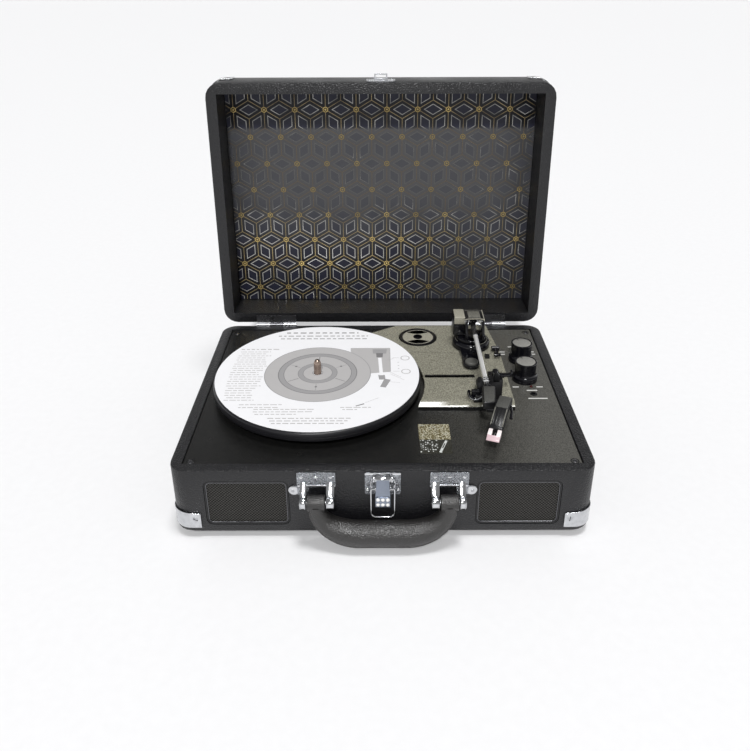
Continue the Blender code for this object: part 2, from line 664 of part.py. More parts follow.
def arm_tube(pitch_pivot):
    tube = rod("arm_tube", [TUBE_REAR, TUBE_FRONT], TUBE_R, sides=16)
    x = TUBE_REAR[0]
    joined(tube, block("tube_collar", (x - 3.6, PITCH_Y - 6, PITCH_Z - 3),
                       (x + 3.6, PITCH_Y + 7, PITCH_Z + 3), rounding=0.8))
    for side in (-1, 1):
        reach = 4.2 if side < 0 else 8.1
        start = min(x + side * 3, x + side * (reach + 0.6))
        joined(tube, cylinder(f"pitch_boss_{side}", (start, PITCH_Y, PITCH_Z), 2.2, reach - 2.4, axis="X",
                              sides=16))
    for side in (-1, 1):
        start = x + side * 12 if side < 0 else x + 3.4
        cut(tube, cylinder(f"pitch_bore_{side}", (start, PITCH_Y, PITCH_Z), 1.45, 9.2, axis="X", sides=16))
    attach(pitch_pivot, finished(tube, "chrome"))


def arm_head(pitch_pivot):
    x, y, _ = TUBE_FRONT
    shell = slab("headshell", [(x - 4.8, 77), (x + 6.4, 77), (x + 2.8, 50.5), (x - 7.4, 50.5)], 25.2, 32.8,
                 rounding=0.7)
    joined(shell, slab("cartridge_shelf", [(x - 5, 70), (x + 16, 64), (x + 12.6, 47), (x - 4, 52)], 22, 25.8))
    cut(shell, rod("tube_bore", [(x - 0.02, 64, 29.9), (x + 0.1, 90, 30.25)], TUBE_R + GAP, sides=16))

    def placed(piece):
        piece.location = Vector((*CARTRIDGE, 0)) * MM + Matrix.Rotation(
            math.radians(-CARTRIDGE_TURN), 3, "Z") @ piece.location
        piece.rotation_euler.z = math.radians(-CARTRIDGE_TURN)
        return piece

    side = [(0, 32.6), (-19, 32.6), (-37, 25.2), (-38, 24.4), (-38, 20.2), (-27, 19.6), (-22, 26.1),
            (0, 26.1)]
    body = placed(slab("cartridge", side, -5.7, 5.7, axis="X", rounding=0.5, segments=1))
    blade = [(5, -3, 28), (8.4, -16, 28.5), (9.6, -24, 27)]
    joined(body, placed(rod("finger_lift", blade, 0.9, sides=8)))
    guard = [(-38.3, 23.6), (-43.5, 22.2), (-48, 18.8), (-48, 17.6), (-43.5, 17.6), (-38.3, 19.4)]
    needle = placed(slab("stylus", guard, -5.4, 5.4, axis="X", rounding=0.4, segments=1))
    cut(needle, placed(block("stylus_slot", (-2, -44.5, 10), (2, -36, 30))))
    joined(needle, placed(cylinder("needle_tip", (0, -46.4, 16.7), 0.3, 1.6, sides=8, top_radius=0.8)))
    attach(pitch_pivot, finished(shell, "black_plastic"), finished(body, "black_plastic"),
           finished(needle, "pink"))


# ---------------------------------------------------------------- the lid, modelled shut

def lid_case():
    half = CASE_W / 2
    low, high = LID_GAP, LID_GAP + LID_H
    case = slab("lid_case", rounded_rectangle(-half, half, 0, CASE_D, CORNER_R), low, high, rounding=1.6)
    wall = WALL + 1
    cut(case, block("lid_hollow", (wall - half, wall, -5), (half - wall, CASE_D - wall, high - 4)))
    for side in (-1, 1):
        x0, x1 = sorted((side * (HINGE_X - HINGE_W / 2 - 0.4), side * (HINGE_X + HINGE_W / 2 + 0.4)))
        cut(case, block(f"leaf_pocket_{side}", (x0, CASE_D - 8.6, -1), (x1, CASE_D + 2, low + 1.4)))
    lining = block("lid_lining", (wall - half + 0.4, wall + 0.4, high - 4 - GAP - 0.6),
                   (half - wall - 0.4, CASE_D - wall - 0.4, high - 4 - GAP))
    return finished(case, "leatherette"), finished(lining, "lining")


def lid_keeper():
    plate = slab("lid_keeper", rounded_rectangle(-14.5, 14.5, 5, 21, 2), -1.2, -GAP, axis="Y")
    joined(plate, block("keeper_foot", (-7, -3.2, 9), (7, -0.6, 14), rounding=0.4))
    for side in (-1, 1):
        x0 = min(side * 5.2, side * 6.5)
        joined(plate, block(f"keeper_post_{side}", (x0, -7.4, 10), (x0 + 1.3, -2, 13)))
    joined(plate, block("keeper_bar", (-6.5, -7.4, 10), (6.5, -6.2, 13), rounding=0.3))
    return finished(plate, "chrome")


def hinge(suffix, side):
    """The base leaf, the pin and the lid leaf of one hinge. Its three knuckles share the pin."""
    x0 = side * HINGE_X - HINGE_W / 2
    knuckle = HINGE_W / 3
    base = block("hinge_base_leaf_" + suffix, (x0, CASE_D + GAP, -22), (x0 + HINGE_W, CASE_D + GAP + 1, -1.6))
    lid = block("hinge_lid_leaf_" + suffix, (x0, CASE_D - 8.2, LID_GAP), (x0 + HINGE_W, CASE_D + 0.6,
                                                                            LID_GAP + 1))
    for n in range(3):
        start = x0 + knuckle * n + GAP / 2
        barrel = cylinder(f"knuckle_{suffix}_{n}", (start, HINGE_Y, HINGE_Z), 2.3, knuckle - GAP, axis="X",
                          sides=12)
        tab_low = (start, CASE_D + GAP, -6) if n % 2 == 0 else (start, CASE_D - 2, LID_GAP)
        tab_high = (start + knuckle - GAP, CASE_D + 2.4, -1.2) if n % 2 == 0 else \
            (start + knuckle - GAP, CASE_D + 2.6, LID_GAP + 1)
        joined(base if n % 2 == 0 else lid, barrel, block(f"knuckle_tab_{suffix}_{n}", tab_low, tab_high))
    for leaf, name in ((base, "base"), (lid, "lid")):
        keep = (0, 2) if leaf is base else (1,)
        for n in range(3):
            if n not in keep:
                start = x0 + knuckle * n - GAP / 2
                cut(leaf, block(f"{name}_relief_{suffix}_{n}", (start, CASE_D + 0.1, -3.4),
                                (start + knuckle + GAP, CASE_D + 8, 3.4)))
        cut(leaf, cylinder(f"{name}_leaf_bore_{suffix}", (x0 - 2, HINGE_Y, HINGE_Z), 1.25, HINGE_W + 4,
                           axis="X", sides=12))
    pin = cylinder("hinge_pin_" + suffix, (x0 - 0.6, HINGE_Y, HINGE_Z), 0.95, HINGE_W + 1.2, axis="X",
                   sides=12)
    finished(base, "steel")
    finished(pin, "steel")
    return finished(lid, "steel")


# ---------------------------------------------------------------- the whole object

def base():
    base_case()
    low, high, crest = -BASE_H + 3.9, -43.0, -36.0
    for end, back in (("front", False), ("rear", True)):
        for name, side in (("left", -1), ("right", 1)):
            corner_shell(f"base_corner_{end}_{name}", side, back, low, high, crest)
            foot(f"foot_{end}_{name}", side, CASE_D - FOOT_INSET[1] if back else FOOT_INSET[1])
    for name, side in (("left", -1), ("right", 1)):
        grille("grille_" + name, side)
        speaker("speaker_" + name, side)
        handle_bracket("handle_bracket_" + name, side)
    jack_plate()
    main_board()
    control_board()
    latch_plate()
    lever_pivot = pivot("latch_lever_pivot", (0, *LEVER_PIVOT))
    latch_lever(lever_pivot)
    latch_loop(pivot("latch_loop_pivot", (0, *LOOP_PIVOT), lever_pivot))
    handle(pivot("handle_pivot", (0, *HANDLE_PIVOT)))


def deck():
    deck_plate()
    bearing_bush()
    motor_and_belt(pivot("pulley_pivot", (*PULLEY, 0)))
    platter(pivot("platter_pivot", (*PLATTER, 0)))
    knob("volume_knob", VOLUME, pivot("volume_pivot", (*VOLUME, 0)))
    knob("source_knob", SOURCE, pivot("source_pivot", (*SOURCE, 0)))
    light_and_socket()
    adapter(pivot("adapter_pivot", (*ADAPTER, 0)))
    slide_switch("speed_switch", SPEED_SWITCH, pivot("speed_pivot", (*SPEED_SWITCH, 0)))
    slide_switch("auto_stop_switch", STOP_SWITCH, pivot("stop_pivot", (*STOP_SWITCH, 0)))


def tonearm():
    tonearm_base()
    cue_lift(pivot("cue_pad_pivot", (*CUE_PAD, 0)), pivot("cue_lever_pivot", CUE_LEVER))
    arm_rest(pivot("clip_pivot", (CLIP_PIVOT[0], sum(REST_Y) / 2, CLIP_PIVOT[1])))
    yaw_pivot = pivot("yaw_pivot", (*ARM_PIVOT, 0))
    arm_yoke(yaw_pivot)
    pitch_pivot = pivot("pitch_pivot", (ARM_PIVOT[0], PITCH_Y, PITCH_Z), yaw_pivot)
    arm_tube(pitch_pivot)
    arm_head(pitch_pivot)


def lid():
    lid_pivot = pivot("lid_pivot", (0, HINGE_Y, HINGE_Z))
    moving = [*lid_case(), lid_keeper()]
    high, low, crest = LID_GAP + LID_H - 19, LID_GAP + LID_H - 3.9, LID_GAP + LID_H - 26
    for end, back in (("front", False), ("rear", True)):
        for name, side in (("left", -1), ("right", 1)):
            moving.append(corner_shell(f"lid_corner_{end}_{name}", side, back, low, high, crest))
    for name, side in (("left", -1), ("right", 1)):
        moving.append(hinge(name, side))
    attach(lid_pivot, *moving)
    lid_pivot.rotation_euler.x = math.radians(-LID_OPEN)


def stand_on_floor():
    """Moves the root so that the feet are on z = 0 and the footprint is centred on the origin."""
    bpy.context.view_layer.update()
    graph = bpy.context.evaluated_depsgraph_get()
    across, up = [], []
    for piece in parts.objects:
        if piece.type == "MESH":
            shaped = piece.evaluated_get(graph)
            corners = [shaped.matrix_world @ vertex.co for vertex in shaped.data.vertices]
            across += [corner.y for corner in corners]
            up += [corner.z for corner in corners]
    root.location = (0, -(min(across) + max(across)) / 2, -min(up))


base()
deck()
tonearm()
lid()
stand_on_floor()
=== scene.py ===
"""The looks of the suitcase record player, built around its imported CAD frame.

Shapes are written in millimetres in the case's own frame: x = 0 on the middle of the case, y = 0 on its
front face, z = 0 on the rim of the base. Pieces of the lid are written as if it were shut.
"""

import json
import math
import random

import bmesh
import bpy
from mathutils import Matrix, Vector


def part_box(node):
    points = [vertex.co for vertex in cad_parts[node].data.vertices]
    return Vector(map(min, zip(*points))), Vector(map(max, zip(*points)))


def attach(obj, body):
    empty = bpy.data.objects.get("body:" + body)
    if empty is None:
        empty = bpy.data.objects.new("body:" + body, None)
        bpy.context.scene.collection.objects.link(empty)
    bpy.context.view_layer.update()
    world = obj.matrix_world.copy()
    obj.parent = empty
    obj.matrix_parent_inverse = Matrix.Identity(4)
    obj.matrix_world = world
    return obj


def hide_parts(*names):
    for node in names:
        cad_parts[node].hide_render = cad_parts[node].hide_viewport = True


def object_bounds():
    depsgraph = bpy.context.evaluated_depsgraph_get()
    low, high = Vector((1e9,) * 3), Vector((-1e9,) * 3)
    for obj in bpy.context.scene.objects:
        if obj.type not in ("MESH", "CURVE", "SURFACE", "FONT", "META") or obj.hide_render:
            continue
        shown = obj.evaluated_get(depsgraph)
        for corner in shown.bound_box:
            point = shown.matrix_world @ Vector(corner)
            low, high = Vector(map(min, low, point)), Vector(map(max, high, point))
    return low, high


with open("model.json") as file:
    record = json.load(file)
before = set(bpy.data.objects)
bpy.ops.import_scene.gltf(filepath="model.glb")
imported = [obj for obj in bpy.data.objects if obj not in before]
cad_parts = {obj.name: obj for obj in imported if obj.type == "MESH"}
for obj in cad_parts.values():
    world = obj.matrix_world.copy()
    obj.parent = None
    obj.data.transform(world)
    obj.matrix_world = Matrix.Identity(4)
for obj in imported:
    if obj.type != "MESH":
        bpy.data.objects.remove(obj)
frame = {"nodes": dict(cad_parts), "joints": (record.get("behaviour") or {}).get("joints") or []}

MM = 0.001
SMOOTH_ANGLE = 35  # edges that turn by more degrees stay sharp
NODES = frame["nodes"]
cad_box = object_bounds()

# ---------------------------------------------------------------- places, read from the frame

case_low, case_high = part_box("base_case")
ORIGIN = Vector((0, case_low.y, case_high.z))
CASE = Matrix.Translation(ORIGIN) @ Matrix.Scale(MM, 4)
JOINTS = {joint["name"]: joint for joint in frame["joints"]}


def pivot(name):
    """A joint's point in the case's frame."""
    return (Vector(JOINTS[name]["pos_m"]) - ORIGIN) / MM


def extent(node):
    """A node's lowest and highest corners in the case's frame."""
    low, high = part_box(node)
    return (low - ORIGIN) / MM, (high - ORIGIN) / MM


def middle_of(node):
    return sum(extent(node), Vector()) / 2


hinge = JOINTS["lid_hinge"]
hinge_point = Vector(hinge["pos_m"])
hinge_turn = Matrix.Rotation(-math.radians(hinge["range_deg"][0]), 4, hinge["axis"])
LID = Matrix.Translation(hinge_point) @ hinge_turn @ Matrix.Translation(-hinge_point) @ CASE

CASE_W = (case_high.x - case_low.x) / MM
CASE_D = (case_high.y - case_low.y) / MM
BASE_H = (case_high.z - case_low.z) / MM
PLATTER, VOLUME, SOURCE = map(pivot, ("platter_spin", "volume_turn", "source_turn"))
ARM, PITCH, CLIP, CUE_LEVER = map(pivot, ("arm_swing", "arm_lift", "arm_clip_turn", "cue_lever_turn"))
HANDLE, LEVER, LOOP = map(pivot, ("handle_swing", "latch_lever_turn", "latch_loop_turn"))
ADAPTER = middle_of("adapter_45")
CUE_PAD = middle_of("cue_pad")
DECK_TOP = -0.8
PLATEAU = 6.0
card_low, card_high = extent("card_disc")
CARD_TOP = card_high.z
CARD_R = (card_high.x - card_low.x) / 2
PLATTER_LOW = extent("platter")[0].z
SPINDLE_TOP = extent("spindle")[1].z
LINING_Z = 40.6  # the printed face of the lining, with the lid shut
LID_WALL = 11.4
CARTRIDGE_TURN = math.radians(21)
CARTRIDGE = Vector((106.7, 59.8, 0))


# ---------------------------------------------------------------- materials

class Look:
    """A Principled material and the nodes that feed it. Textures read object coordinates, in metres."""

    def __init__(self, name, colour, roughness, metallic=0, **sockets):
        self.material = bpy.data.materials.new(name)
        self.material.use_nodes = True
        self.tree = self.material.node_tree
        self.feed(Base_Color=(*colour, 1), Roughness=roughness, Metallic=metallic, **sockets)
        self.place = self.node("ShaderNodeTexCoord", "Object")

    def feed(self, **sockets):
        """Sets or links the shader's sockets, and gives back the material."""
        for name, value in sockets.items():
            self.join(self.tree.nodes["Principled BSDF"].inputs[name.replace("_", " ")], value)
        return self.material

    def join(self, socket, value):
        if isinstance(value, bpy.types.NodeSocket):
            self.tree.links.new(value, socket)
        else:
            socket.default_value = value

    def node(self, kind, output, inputs=(), **settings):
        """Adds a node with its settings and inputs, and gives back one of its outputs."""
        made = self.tree.nodes.new(kind)
        for name, value in settings.items():
            setattr(made, name, value)
        for name, value in dict(inputs).items():
            self.join(made.inputs[name], value)
        return made.outputs[output]

    def stretched(self, scale, turn=0):
        inputs = {"Vector": self.place, "Scale": scale, "Rotation": (0, 0, turn)}
        return self.node("ShaderNodeMapping", "Vector", inputs)

    def noise(self, scale, detail=3, place=None):
        inputs = {"Vector": place or self.place, "Scale": scale, "Detail": detail}
        return self.node("ShaderNodeTexNoise", "Fac", inputs)

    def cells(self, scale, feature="F1"):
        inputs = {"Vector": self.place, "Scale": scale}
        return self.node("ShaderNodeTexVoronoi", "Distance", inputs, feature=feature)

    def span(self, value, low, high, to_low=0, to_high=1):
        inputs = {"Value": value, "From Min": low, "From Max": high, "To Min": to_low, "To Max": to_high}
        return self.node("ShaderNodeMapRange", "Result", inputs)

    def cloudy(self, scale, low, high, detail=3):
        """A value that drifts between two levels."""
        return self.span(self.noise(scale, detail), 0.3, 0.7, low, high)

    def math(self, operation, first, second):
        return self.node("ShaderNodeMath", "Value", {0: first, 1: second}, operation=operation)

    def times(self, first, second):
        return self.math("MULTIPLY", first, second)

    def tint(self, share, first, second):
        first, second = ((*c, 1) if isinstance(c, tuple) else c for c in (first, second))
        return self.node("ShaderNodeMix", 2, {"Factor": share, 6: first, 7: second}, data_type="RGBA")

    def bump(self, height, distance, strength, under=None):
        inputs = {"Height": height, "Distance": distance, "Strength": strength}
        if under:
            inputs["Normal"] = under
        return self.node("ShaderNodeBump", "Normal", inputs)

    def axis(self, letter):
        return self.node("ShaderNodeSeparateXYZ", letter, {0: self.place})

    def within(self, letter, low, high, soft=0.0001):
        """1 where the coordinate lies between two values and 0 outside them."""
        above = self.span(self.axis(letter), low - soft, low)
        return self.times(above, self.span(self.axis(letter), high, high + soft, 1, 0))


def dimmed(colour, share):
    return tuple(c * share for c in colour)


def leatherette():
    look = Look("leatherette", (0.02, 0.02, 0.022), 0.42, Specular_IOR_Level=0.5)
    grain = look.cells(820, "SMOOTH_F1")
    fine = look.bump(look.times(grain, -1), 0.0006, 0.85)
    return look.feed(Base_Color=look.tint(grain, (0.0085, 0.0086, 0.0105), (0.0028, 0.0028, 0.0035)),
                     Roughness=look.cloudy(22, 0.32, 0.44),
                     Normal=look.bump(look.noise(310), 0.0003, 0.35, fine))


def handle_leather():
    look = Look("handle_leather", (0.012, 0.011, 0.011), 0.34, Specular_IOR_Level=0.75)
    grain = look.cells(1150, "SMOOTH_F1")
    return look.feed(Base_Color=look.tint(grain, (0.016, 0.0145, 0.0135), (0.006, 0.0056, 0.0054)),
                     Roughness=look.cloudy(60, 0.3, 0.44),
                     Normal=look.bump(look.times(grain, -1), 0.00042, 0.9))


def moulded(name, colour, roughness, grain_scale=1500, depth=0.00006, specular=0.5):
    """Injection-moulded plastic: a spark-eroded grain, faint cloudiness and a little handling wear."""
    look = Look(name, colour, roughness, Specular_IOR_Level=specular)
    lighter = tuple(c * gain for c, gain in zip(colour, (1.25, 1.22, 1.18)))
    return look.feed(Base_Color=look.tint(look.cloudy(14, 0, 1, 4), dimmed(colour, 0.78), lighter),
                     Roughness=look.cloudy(45, roughness * 0.88, roughness * 1.14),
                     Normal=look.bump(look.noise(grain_scale), depth, 0.6))


STEP_Z = ORIGIN.z + 3 * MM  # the foot of the bevel along the plateau's front edge
BEVEL = (ORIGIN.y + 88.7 * MM, ORIGIN.y + 93.5 * MM)
# The painted shade: a black strip over the wide groove and its edges lies between the next two pairs of
# places, and a black band as wide as the third runs along the plate's two sides.
GROOVE_SHADE = (ORIGIN.y + 136 * MM, ORIGIN.y + 141.4 * MM)
GROOVE_SHADE_ENDS = (ORIGIN.x + 42 * MM, ORIGIN.x + 90 * MM)
SIDE_GAP_SHADE = 1 * MM
LOW_DECK_SHADE_SPAN = (0.02, 0.14)  # how far right of the middle the low part's painted shade fades into its paler olive


def deck_plastic():
    """Pebbled plastic: the raised part is pale olive. The low part is painted dark up to just right of the
    middle, a painted shade and reflection of the platter, and turns paler olive further right.

    The bevel along the plateau's front edge is smooth. A painted shade is black on a strip wider than the
    wide groove, on the step below the bevel and on the gap along the plate's two sides.
    """
    look = Look("deck_plastic", (0.03, 0.03, 0.028), 0.24, Specular_IOR_Level=0.42)
    pebbles = look.noise(1300, 2)
    raised = look.span(look.axis("Z"), STEP_Z, STEP_Z + 0.2 * MM)
    # Painted shade and reflection of the platter: the low part is painted dark on its left, paler to the
    # right.
    low_part_shaded = look.tint(look.span(look.axis("X"), *LOW_DECK_SHADE_SPAN), (0.004, 0.0043, 0.005),
                         (0.1, 0.098, 0.088))
    tone = look.tint(raised, low_part_shaded, (0.27, 0.262, 0.205))
    dark = look.tint(0.5, tone, (0.004, 0.004, 0.004))
    bright = look.tint(look.span(raised, 0, 1, 0.02, 0.16), tone, (0.5, 0.48, 0.4))
    mixed = look.tint(look.span(pebbles, 0.4, 0.6), dark, bright)
    # Painted shade in black: the strip over the wide groove, the gap along the plate's two sides and the step
    # below the bevel.
    groove = look.times(look.times(look.within("Y", *GROOVE_SHADE), look.within("X", *GROOVE_SHADE_ENDS)), raised)
    plate_low, plate_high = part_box("deck_plate")
    inner = look.within("X", plate_low.x + SIDE_GAP_SHADE, plate_high.x - SIDE_GAP_SHADE)
    black = look.math("MAXIMUM", groove, look.math("SUBTRACT", 1, inner))
    black = look.math("MAXIMUM", black, look.within("Z", ORIGIN.z + (DECK_TOP + 0.1) * MM, STEP_Z))
    smooth = look.times(look.within("Y", *BEVEL), raised)
    grain = look.times(pebbles, look.math("SUBTRACT", 1, smooth))
    return look.feed(Base_Color=look.tint(black, mixed, (0.001, 0.001, 0.001)),
                     Roughness=look.math("SUBTRACT", look.cloudy(45, 0.2, 0.28), look.times(smooth, 0.13)),
                     Normal=look.bump(grain, 0.0003, 0.6))


def polished(name, colour, roughness, scratch=0.05, metallic=1):
    """Plated or polished metal with fine wiping marks."""
    look = Look(name, colour, roughness, metallic)
    wipe = look.noise(160, 4, look.stretched((1, 6, 1), 0.6))
    return look.feed(Roughness=look.span(wipe, 0.3, 0.7, roughness * 0.6, roughness + scratch),
                     Base_Color=look.tint(look.noise(70), dimmed(colour, 0.86), colour),
                     Normal=look.bump(wipe, 0.00001, 0.25))


def hammered(name, colour, roughness, scale, depth):
    """Plated sheet pressed with a fine random texture."""
    look = Look(name, colour, roughness, 1)
    dents = look.cells(scale, "SMOOTH_F1")
    return look.feed(Base_Color=look.tint(dents, dimmed(colour, 0.75), colour),
                     Roughness=look.span(dents, 0, 0.8, roughness * 1.3, roughness * 0.7),
                     Normal=look.bump(dents, depth, 0.9))


def weave(name, pitch, dark, light):
    """A mesh that stands upright: two families of threads, one over the other."""
    look = Look(name, dark, 0.5, Specular_IOR_Level=0.22)
    across, along = (look.math("SINE", look.times(look.axis(letter), 2 * math.pi / pitch), 0)
                     for letter in "XZ")
    knots = look.span(look.times(across, along), -0.6, 0.6)
    return look.feed(Base_Color=look.tint(knots, dark, light), Roughness=look.span(knots, 0, 1, 0.7, 0.38),
                     Normal=look.bump(knots, pitch * 0.25, 0.9))


PAINTED_SHEEN_START = (ORIGIN.z + 0.065, ORIGIN.z + 0.135)  # the painted sheen on the lining begins between these heights
PAINTED_SHADOW_EDGE = (0.275, 0.278)  # and ends between these, where a painted shadow of the lid's top wall begins
PAINTED_SHEEN_ACROSS = (0, 0.11)  # low on the lining, the painted sheen begins between these places right of the middle


def sheen(look):
    """How much painted sheen lies on the printed lining: none low on its left half, and none in a painted
    shadow band along its top.
    """
    up = look.span(look.axis("Z"), *PAINTED_SHEEN_START)
    across = look.span(look.axis("X"), *PAINTED_SHEEN_ACROSS, 0, 0.6)
    cloud = look.cloudy(9, -0.18, 0.18)
    painted_haze = look.span(look.math("ADD", look.math("MAXIMUM", up, across), cloud), 0, 1)
    return look.times(painted_haze, look.span(look.axis("Z"), *PAINTED_SHADOW_EDGE, 1, 0))


def lining_cloth():
    look = Look("lining_paper", (0.05, 0.05, 0.052), 0.42, Specular_IOR_Level=0.3)
    fibre = look.noise(900, 3, look.stretched((1, 0.25, 1)))
    # Painted light: the paper is painted paler under the painted sheen, and dark low on its left half and in
    # the painted shadow band along its top.
    return look.feed(Base_Color=look.tint(sheen(look), (0.014, 0.014, 0.017), (0.062, 0.062, 0.065)),
                     Roughness=look.cloudy(35, 0.36, 0.46), Normal=look.bump(fibre, 0.00005, 0.5))


def lining_ink():
    """Navy ink inside the diamonds, painted paler under the same painted sheen as the lining around it."""
    look = Look("navy_ink", (0.02, 0.02, 0.035), 0.4, Specular_IOR_Level=0.3)
    return look.feed(Base_Color=look.tint(sheen(look), (0.011, 0.012, 0.026), (0.05, 0.051, 0.058)),
                     Roughness=look.cloudy(60, 0.36, 0.46))


def foil(name, bright, painted_and_rubbed_dull, roughness):
    """Hot-stamped foil, painted duller under the painted sheen and in the painted shadow band along the
    lining's top, and duller in rubbed patches.
    """
    look = Look(name, bright, roughness, 0.85)
    rubbed = look.span(look.noise(60, 4), 0.35, 0.62, 0, 0.25)
    # Painted shadow: in the band along the lining's top the foil is painted duller.
    painted_shadow = look.span(look.axis("Z"), *PAINTED_SHADOW_EDGE, 0, 0.72)
    painted_and_rubbed_dulling = look.math("ADD", sheen(look), look.math("ADD", rubbed, painted_shadow))
    return look.feed(Base_Color=look.tint(look.span(painted_and_rubbed_dulling, 0, 1), bright, painted_and_rubbed_dull),
                     Roughness=look.span(rubbed, 0, 0.25, roughness, roughness + 0.16))


def paper(name, colour):
    look = Look(name, colour, 0.55)
    return look.feed(Base_Color=look.tint(look.noise(120, 4), dimmed(colour, 0.95), colour),
                     Normal=look.bump(look.noise(1300, 4), 0.00003, 0.4))


def glitter_label():
    """A holographic seal: pale gold flakes."""
    look = Look("label_gold", (0.7, 0.6, 0.3), 0.3, 0.35)
    flakes = look.cells(900)
    shown = look.span(flakes, 0.15, 0.6)
    return look.feed(Base_Color=look.tint(shown, (1, 0.97, 0.78), (0.16, 0.13, 0.05)),
                     Normal=look.bump(flakes, 0.0003, 0.9))


def circuit_green():
    look = Look("circuit_board", (0.03, 0.13, 0.06), 0.4)
    traces = look.span(look.cells(350, "DISTANCE_TO_EDGE"), 0.02, 0.08)
    return look.feed(Base_Color=look.tint(traces, (0.09, 0.25, 0.1), (0.02, 0.1, 0.05)),
                     Normal=look.bump(traces, 0.00005, 0.5))


def speckled(name, first, second, scale, roughness):
    look = Look(name, first, roughness, 0.1)
    grain = look.span(look.noise(scale, 4), 0.35, 0.65)
    return look.feed(Base_Color=look.tint(grain, first, second), Normal=look.bump(grain, 0.00025, 0.8))


LEATHER = leatherette()
HANDLE_LEATHER = handle_leather()
DECK = deck_plastic()
BLACK = moulded("black_plastic", (0.007, 0.007, 0.008), 0.3, specular=0.4)
GLOSS = moulded("gloss_black", (0.004, 0.004, 0.006), 0.14, 300, 0.00001, 0.45)
PLATTER_BLACK = moulded("platter_plastic", (0.007, 0.007, 0.009), 0.36, 2000, 0.00005, 0.4)
RUBBER = moulded("rubber", (0.018, 0.018, 0.018), 0.75, 1800, 0.0001)
# These two also stand as painted highlights along top edges of the tonearm's turret and fork.
GREY_TOP_AND_HIGHLIGHT = speckled("textured_grey_top_and_highlight", (0.1, 0.098, 0.085), (0.2, 0.195, 0.165), 1500, 0.42)
PALE_TOP_AND_HIGHLIGHT = speckled("textured_pale_top_and_highlight", (0.26, 0.25, 0.2), (0.42, 0.4, 0.33), 1200, 0.45)
CHROME = polished("chrome", (0.66, 0.67, 0.69), 0.09)
SATIN_STEEL = polished("steel", (0.5, 0.51, 0.53), 0.3, 0.1)
DARK_STEEL = polished("dark_steel", (0.16, 0.16, 0.17), 0.32, 0.1)
PRESSED = hammered("pressed_chrome", (0.36, 0.375, 0.4), 0.2, 1000, 0.0011)
CORNER_METAL = hammered("corner_metal", (0.66, 0.67, 0.69), 0.18, 300, 0.0005)
BRIGHT_TRIM = polished("bright_trim", (0.9, 0.9, 0.9), 0.35, 0.1)
BLUE_STEEL = polished("blued_chrome", (0.26, 0.29, 0.35), 0.2, 0.08)
BUMP_METAL = polished("bump_metal", (0.95, 0.95, 0.93), 0.3, 0.05, 0.4)
BRASS = polished("worn_brass", (0.4, 0.31, 0.26), 0.22, 0.12)
MESH = weave("grille_mesh", 0.0027, (0.001, 0.001, 0.001), (0.05, 0.048, 0.043))
LINING = lining_cloth()
GOLD = foil("gold_foil", (0.66, 0.52, 0.25), (0.115, 0.09, 0.06), 0.24)
# The rings' foil is painted brighter than the lines under the painted sheen, a painted glint.
GOLD_DOT = foil("gold_foil_dot", (0.8, 0.6, 0.22), (0.2, 0.15, 0.06), 0.2)
SILVER = foil("silver_foil", (0.8, 0.79, 0.76), (0.1, 0.1, 0.098), 0.24)
NAVY = lining_ink()
CARD = paper("card_white", (0.86, 0.86, 0.88))
PRINT_PALE = paper("print_pale_grey", (0.46, 0.45, 0.45))
PRINT_MID = paper("print_mid_grey", (0.33, 0.325, 0.33))
PRINT_DARK = paper("print_dark_grey", (0.19, 0.185, 0.19))
INK = paper("pale_ink", (0.62, 0.62, 0.6))
LABEL_GOLD = glitter_label()
LABEL_DARK = speckled("label_dark", (0.012, 0.012, 0.009), (0.05, 0.048, 0.036), 1800, 0.3)
LABEL_PALE = paper("label_pale", (0.6, 0.62, 0.6))
PINK = moulded("pink_plastic", (0.6, 0.45, 0.49), 0.3, 900, 0.00003)
PAD_GREY = moulded("pad_rubber", (0.085, 0.085, 0.078), 0.55, 1500, 0.0001)
HEAD_GREY = speckled("head_grey", (0.055, 0.055, 0.052), (0.1, 0.1, 0.09), 1600, 0.42)
ARM_METAL = polished("arm_aluminium", (0.95, 0.95, 0.94), 0.16, 0.02, 0.5)
PALE_PINK = moulded("pale_pink_plastic", (0.85, 0.78, 0.79), 0.3, 900, 0.00003)
BOARD = circuit_green()
RED = moulded("red_lens", (0.05, 0.006, 0.006), 0.12, 400, 0.00001)
CONE = moulded("paper_cone", (0.04, 0.04, 0.042), 0.8, 700, 0.0002)
KNOB_TOP = speckled("knob_top", (0.2, 0.196, 0.18), (0.34, 0.335, 0.31), 2500, 0.26)


# ---------------------------------------------------------------- shapes, as loose parts of one mesh

def bevelled(part, width, segments):
    """Rounds a part's edges that turn by more than 30 degrees."""
    sharp = [e for e in part.edges if len(e.link_faces) == 2 and e.calc_face_angle(0) > math.radians(30)]
    bmesh.ops.bevel(part, geom=sharp, offset=width, segments=segments, profile=0.5, affect="EDGES",
                    clamp_overlap=True)
    return part


def block(low, high, rounding=0.4, segments=2):
    part = bmesh.new()
    bmesh.ops.create_cube(part, size=1)
    size, middle = Vector(high) - Vector(low), (Vector(high) + Vector(low)) / 2
    bmesh.ops.scale(part, vec=size, verts=part.verts)
    bmesh.ops.translate(part, vec=middle, verts=part.verts)
    return bevelled(part, rounding, segments) if rounding else part


def joined(part, first, second):
    """Faces between two closed rows of vertices."""
    for n in range(len(first)):
        m = (n + 1) % len(first)
        part.faces.new((first[n], first[m], second[m], second[n]))


AXES = {"X": Matrix(((0, 0, 1), (1, 0, 0), (0, 1, 0))), "Y": Matrix(((1, 0, 0), (0, 0, 1), (0, 1, 0))),
        "Z": Matrix.Identity(3)}


